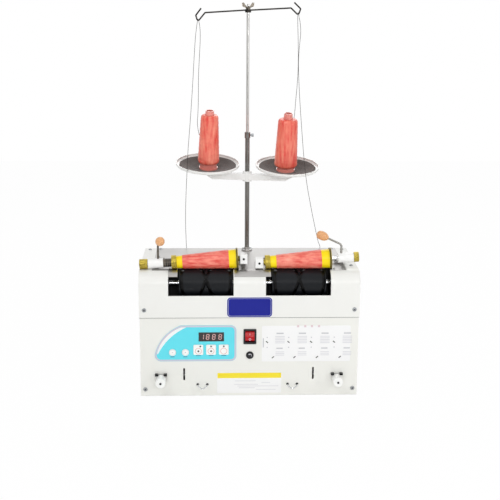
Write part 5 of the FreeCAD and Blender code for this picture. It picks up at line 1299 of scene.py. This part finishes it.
@dataclass
class YarnFittings:
    """The bent wires, the eyelets and the screws of the tension knobs."""

    wires: tuple[Flat, ...] = ((-118.0, 30.0), (109.0, 30.0))
    wire_radius: float = 1.4
    wire_half_span: float = 12.0
    wire_bend: float = 3.5
    bend_steps: int = 6
    eyelets: tuple[float, ...] = (-163.0, 204.0)
    eyelet_height: float = 300.0
    knobs: tuple[tuple[str, float, float], ...] = (
        ("left", -222.0, 45.5), ("right", 221.0, 45.5))
    knob_end: float = PANEL_FACE - 38.0

    def make(self) -> None:
        """Make every fitting."""
        for number, (x, z) in enumerate(self.wires, 1):
            MeshDraft().tube(self.wire_line(x, z), self.wire_radius).finish(
                "guide_wire_%d" % number, CHROME, "frame", 60.0)
            # Black seats at both ends of each wire: painted shade for the holes where it enters
            # the panel.
            ends = MeshDraft()
            for side in (-self.wire_half_span, self.wire_half_span):
                ends.lathe(SEAT_SHADE_PROFILE, Vector((x + side, PANEL_FACE, z)), AHEAD, 24)
            ends.finish("guide_wire_seats_%d" % number, BLACK_OXIDE_AND_SHADE, "frame")
        for number, x in enumerate(self.eyelets, 1):
            MeshDraft().lathe(EYELET_PROFILE, Vector((x, BACK, self.eyelet_height)), BEHIND, 40,
                              bored=True).finish("eyelet_%d" % number, PORCELAIN, "frame")
        for label, x, z in self.knobs:
            MeshDraft().lathe(TENSION_SCREW_PROFILE, Vector((x, self.knob_end, z)), AHEAD,
                              24).finish(label + "_tension_screw", BLACK_OXIDE_AND_SHADE,
                                         label + "_tension")

    def wire_line(self, x: float, z: float) -> list[Vector]:
        """The middle line of one bent wire."""
        y, half = PANEL_FACE, self.wire_half_span
        corners = [Vector((x - half, y + 1, z)), Vector((x - half, y - 11, z - 0.5)),
                   Vector((x, y - 16, z - 7)), Vector((x + half, y - 11, z - 0.5)),
                   Vector((x + half, y + 1, z))]
        line = [corners[0]]
        for before, corner, after in zip(corners, corners[1:], corners[2:]):
            away, onward = (before - corner).normalized(), (after - corner).normalized()
            reach = self.wire_bend * math.tan((math.pi - away.angle(onward)) / 2)
            start, end = corner + away * reach, corner + onward * reach
            for i in range(self.bend_steps + 1):
                t = i / self.bend_steps
                line.append(start.lerp(corner, t).lerp(corner.lerp(end, t), t))
        line.append(corners[-1])
        return line


# ----------------------------------------------------------------------- stand
FOOT_PROFILE = ((0.0, 6.1), (0.0, 14.4), (2.9, 14.5), (3.9, 14.1), (4.3, 13.2), (4.4, 8.6),
                (5.0, 7.9), (8.6, 7.7), (9.2, 7.2), (9.4, 6.1))


@dataclass
class Stand:
    """The tube and foot of the stand, the foam pads and the yarn on the supply cones."""

    tube_top: float = 641.0
    tube_radius: float = 6.0
    tube_bore: float = 4.1
    collar_radius: float = 7.6
    arm_height: float = 531.0
    arm_roll: float = 1.6
    plate_offset: float = 106.0
    plate_lift: float = 17.5
    plate_tilt: float = 10.5
    pad_bottom: float = -9.4
    pad_thickness: float = 4.5
    pad_rim: float = 72.0
    pad_rings: int = 20
    cone_shift: tuple[Flat, Flat] = ((2.0, -6.0), (-5.0, -5.0))
    yarn_lows: Flat = (15.0, 11.0)
    yarn_lengths: Flat = (131.0, 130.0)
    yarn_radii: tuple[Flat, Flat] = ((28.5, 22.5), (30.5, 25.5))
    yarn_windings: tuple[Winding, Winding] = (Winding.CROSSED, Winding.CLOSE)
    strands: tuple[Flat, Flat] = ((13.0, 0.4), (7.0, 0.18))

    def place(self, number: int) -> Matrix:
        """How a plate's own frame lies: on the rolled arm and tilted forward."""
        side = -1 if number == 0 else 1
        pivot = Vector((POLE[0], POLE[1], self.arm_height))
        roll = (Matrix.Translation(pivot) @ Matrix.Rotation(math.radians(self.arm_roll), 4, "Y")
                @ Matrix.Translation(-pivot))
        spot = Vector((POLE[0] + side * self.plate_offset, POLE[1],
                       self.arm_height + self.plate_lift))
        tilt = Matrix.Rotation(math.radians(self.plate_tilt), 4, "X")
        return roll @ Matrix.Translation(spot) @ tilt

    def make(self) -> None:
        """Make the stand's pieces."""
        self.make_foot_and_tube()
        for number, label in enumerate(("left", "right")):
            matrix = self.place(number)
            axis = (matrix.to_3x3() @ UP).normalized()
            self.make_pad(number, label, matrix, axis)
            self.make_supply_yarn(number, label, matrix, axis)

    def make_foot_and_tube(self) -> None:
        """The bright flange at the foot, and the tube with the clamp collar at its top."""
        base = Vector((POLE[0], POLE[1], PLATE_TOP))
        MeshDraft().lathe(FOOT_PROFILE, base, UP, 64, bored=True).finish(
            "stand_foot", BRUSHED_STEEL, "frame")
        top = self.tube_top - PLATE_TOP
        bore, tube, collar = self.tube_bore, self.tube_radius, self.collar_radius
        shape = [(0.2, bore), (0.2, tube), (top - 16.3, tube), (top - 15.7, collar - 0.2),
                 (top - 15.2, collar), (top - 0.6, collar), (top, collar - 0.6), (top, bore)]
        piece = MeshDraft().lathe(shape, base, UP, 48, bored=True).finish(
            "stand_tube", MILL_STEEL, "frame")
        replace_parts(piece, "lower_tube")

    def make_pad(self, number: int, label: str, matrix: Matrix, axis: Vector) -> None:
        """The foam pad that lines one plate, soft at its rim and rough all over."""
        bottom, thick, rim = self.pad_bottom, self.pad_thickness, self.pad_rim
        shape = [(bottom, 6.0), (bottom, 32.0), (-0.1, 74.0), (1.2, 75.0), (3.4, 75.2),
                 (thick - 0.3, 74.2), (thick + 0.1, rim)]
        for i in range(1, self.pad_rings + 1):
            t = i / self.pad_rings
            shape.append((thick - 0.1 + bottom * t + 0.35 * math.sin(t * 9), rim - 38.0 * t))
        shape += [(bottom + thick, 30.0), (bottom + thick + 0.1, 18.0), (bottom + thick, 6.0)]
        draft = MeshDraft().lathe(shape, matrix.translation, axis, 96,
                                  lambda turn, along: 0.25 * math.sin(TURN * 11 * turn + along),
                                  bored=True)
        piece = draft.finish(label + "_foam_pad", FOAM, "frame", 60.0)
        if number == 0:
            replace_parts(piece, "spool_pads")

    def make_supply_yarn(self, number: int, label: str, matrix: Matrix, axis: Vector) -> None:
        """The yarn on one supply cone."""
        base = self.pad_bottom + self.pad_thickness + self.yarn_lows[number]
        strand, height = self.strands[number]
        yarn = WoundYarn(
            name=label + "_supply_yarn",
            start=matrix @ Vector((*self.cone_shift[number], base)),
            axis=axis,
            length=self.yarn_lengths[number],
            radii=self.yarn_radii[number],
            core_radii=(21.6, 12.6),
            shoulder=9.0,
            winding=self.yarn_windings[number],
            look=THREAD_SUPPLY,
            strand=strand,
            height=height,
        )
        if number == 0:
            yarn.make("frame", "supply_yarns")
        else:
            yarn.make("frame")


# ------------------------------------------------------------------- fasteners
@dataclass
class CoverSeamShadow:
    """A dark strip under the hood's lower edge: painted shadow of the seam between hood and
    panel.
    """

    height: float = 204.55
    thickness: float = 0.9
    half_width: float = 274.7
    recess: float = 0.25

    def make(self) -> None:
        """Run the strip along the front and both sides."""
        draft = MeshDraft().slab(
            rectangle(0.0, self.height, 2 * self.half_width, self.thickness),
            COVER_FRONT + self.recess, 1.2)
        for side in (-1, 1):
            draft.slab(rectangle(side * (self.half_width - 0.5), self.height, 1.0,
                                 self.thickness), COVER_FRONT + 1.5, BACK - COVER_FRONT - 2.5)
        draft.finish("cover_seam_shadow", NEOPRENE_AND_SEAM_SHADOW, "frame")


@dataclass
class Fasteners:
    """Pan-head screws, their cross recesses drawn as dark crosses of painted shade."""

    head: float = 5.4
    edge: float = 262.0
    rows: Flat = (225.0, 18.0)
    hood_depths: Flat = (76.0, 268.0)
    plate_depths: Flat = (172.0, 272.0)
    hood_edge: float = 261.0
    plate_edge: float = 232.0
    top_share: float = 0.85
    stand_reach: float = 10.6
    stand_share: float = 0.55
    # (height, share of the head's radius) of a pan head.
    dome: tuple[Flat, ...] = ((0.0, 1.0), (0.8, 1.0), (1.6, 0.92), (2.3, 0.72), (2.65, 0.42),
                              (2.7, 0.0))
    slot_half: Flat = (2.9, 0.6)
    slot_height: float = 2.62
    slot_depth: float = 0.16

    def places(self) -> list[tuple[Vector, Vector, float]]:
        """Where every screw sits, which way its head looks, and its share of the full size."""
        high, low = self.rows
        spots = []
        for side in (-1, 1):
            x = side * self.edge
            spots.append((Vector((x, COVER_FRONT, high)), AHEAD, 1.0))
            spots.append((Vector((x, BACK, high)), BEHIND, 1.0))
            spots.append((Vector((x, PANEL_FACE, low)), AHEAD, 1.0))
            spots.append((Vector((x, BACK - 1.1, low)), BEHIND, 1.0))
            for edge, depths, top in ((self.hood_edge, self.hood_depths, BODY_TOP),
                                      (self.plate_edge, self.plate_depths, PLATE_TOP)):
                spots += [(Vector((side * edge, COVER_FRONT + depth, top)), UP, self.top_share)
                          for depth in depths]
            spots.append((Vector((POLE[0] + side * self.stand_reach, POLE[1],
                                  PLATE_TOP + 4.3)), UP, self.stand_share))
        return spots

    def make(self) -> None:
        """Make all the heads as one piece, and the painted shade of all the recesses as another.
        """
        heads, recesses = MeshDraft(), MeshDraft()
        for spot, outward, size in self.places():
            head = self.head * size
            heads.lathe([(high, head * share) for high, share in self.dome], spot, outward, 32)
            side = outward.orthogonal().normalized()
            long, wide = (half * size for half in self.slot_half)
            for along in (side, outward.cross(side)):
                # A thin dark cross on the dome stands in for the recess: painted shade.
                across = outward.cross(along)
                centre = spot + outward * self.slot_height
                corners = [centre + along * u + across * v + outward * depth
                           for depth in (0.0, self.slot_depth)
                           for u, v in ((-long, -wide), (long, -wide), (long, wide),
                                        (-long, wide))]
                recesses.add(corners, [(3, 2, 1, 0), (4, 5, 6, 7), (0, 1, 5, 4), (1, 2, 6, 5),
                                       (2, 3, 7, 6), (3, 0, 4, 7)])
        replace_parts(heads.finish("screw_heads", ZINC, "frame"), "housing_screws")
        recesses.finish("screw_recess_shade", BLACK_OXIDE_AND_SHADE, "frame")


# ------------------------------------------------------------------------ main
def dress_frame(frame: dict) -> None:
    """Give every CAD node its finish.
    """
    for name, look in NODE_FINISH.items():
        node = frame["nodes"][name]
        material = look.build()
        if node.material_slots:
            for slot in node.material_slots:
                slot.material = material
        else:
            node.data.materials.append(material)
        LOG.info("%s is %s", name, look.name)


def main() -> None:
    """Build the looks in order and report each piece."""
    logging.basicConfig(level=logging.INFO, format="%(name)s: %(message)s")
    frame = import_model()
    bpy.context.scene.view_settings.view_transform = "Standard"
    Studio().set_up()
    Thread("left_loose_thread", "left_thread", LEFT_ROUTE, length=982.9,
           slack=(640.0, 931.0)).make()
    Thread("right_loose_thread", "right_thread", RIGHT_ROUTE, length=982.6,
           slack=(682.0, 948.0)).make()
    dress_frame(frame)
    WindingHead(Side.LEFT, small_x=-181.5, hub_middle=-52.5, lever_shift=6.0,
                lever_heading=(0.16, -0.987, 0.0), lever_rise=13.0, knob_span=(-92.5, -72.5),
                yarn_span=(14.5, 130.5), block_middle=167.5).make()
    WindingHead(Side.RIGHT, small_x=52.0, hub_middle=190.0, lever_shift=-11.0,
                lever_heading=(-1.0, 0.0, 0.0), knob_span=(210.5, 222.5),
                yarn_span=(15.5, 128.5), block_middle=-27.25).make()
    ControlPanel().make()
    SwitchAndFuse().make()
    Labels().make()
    YarnFittings().make()
    Stand().make()
    CoverSeamShadow().make()
    Fasteners().make()


if __name__ == "__main__":
    main()
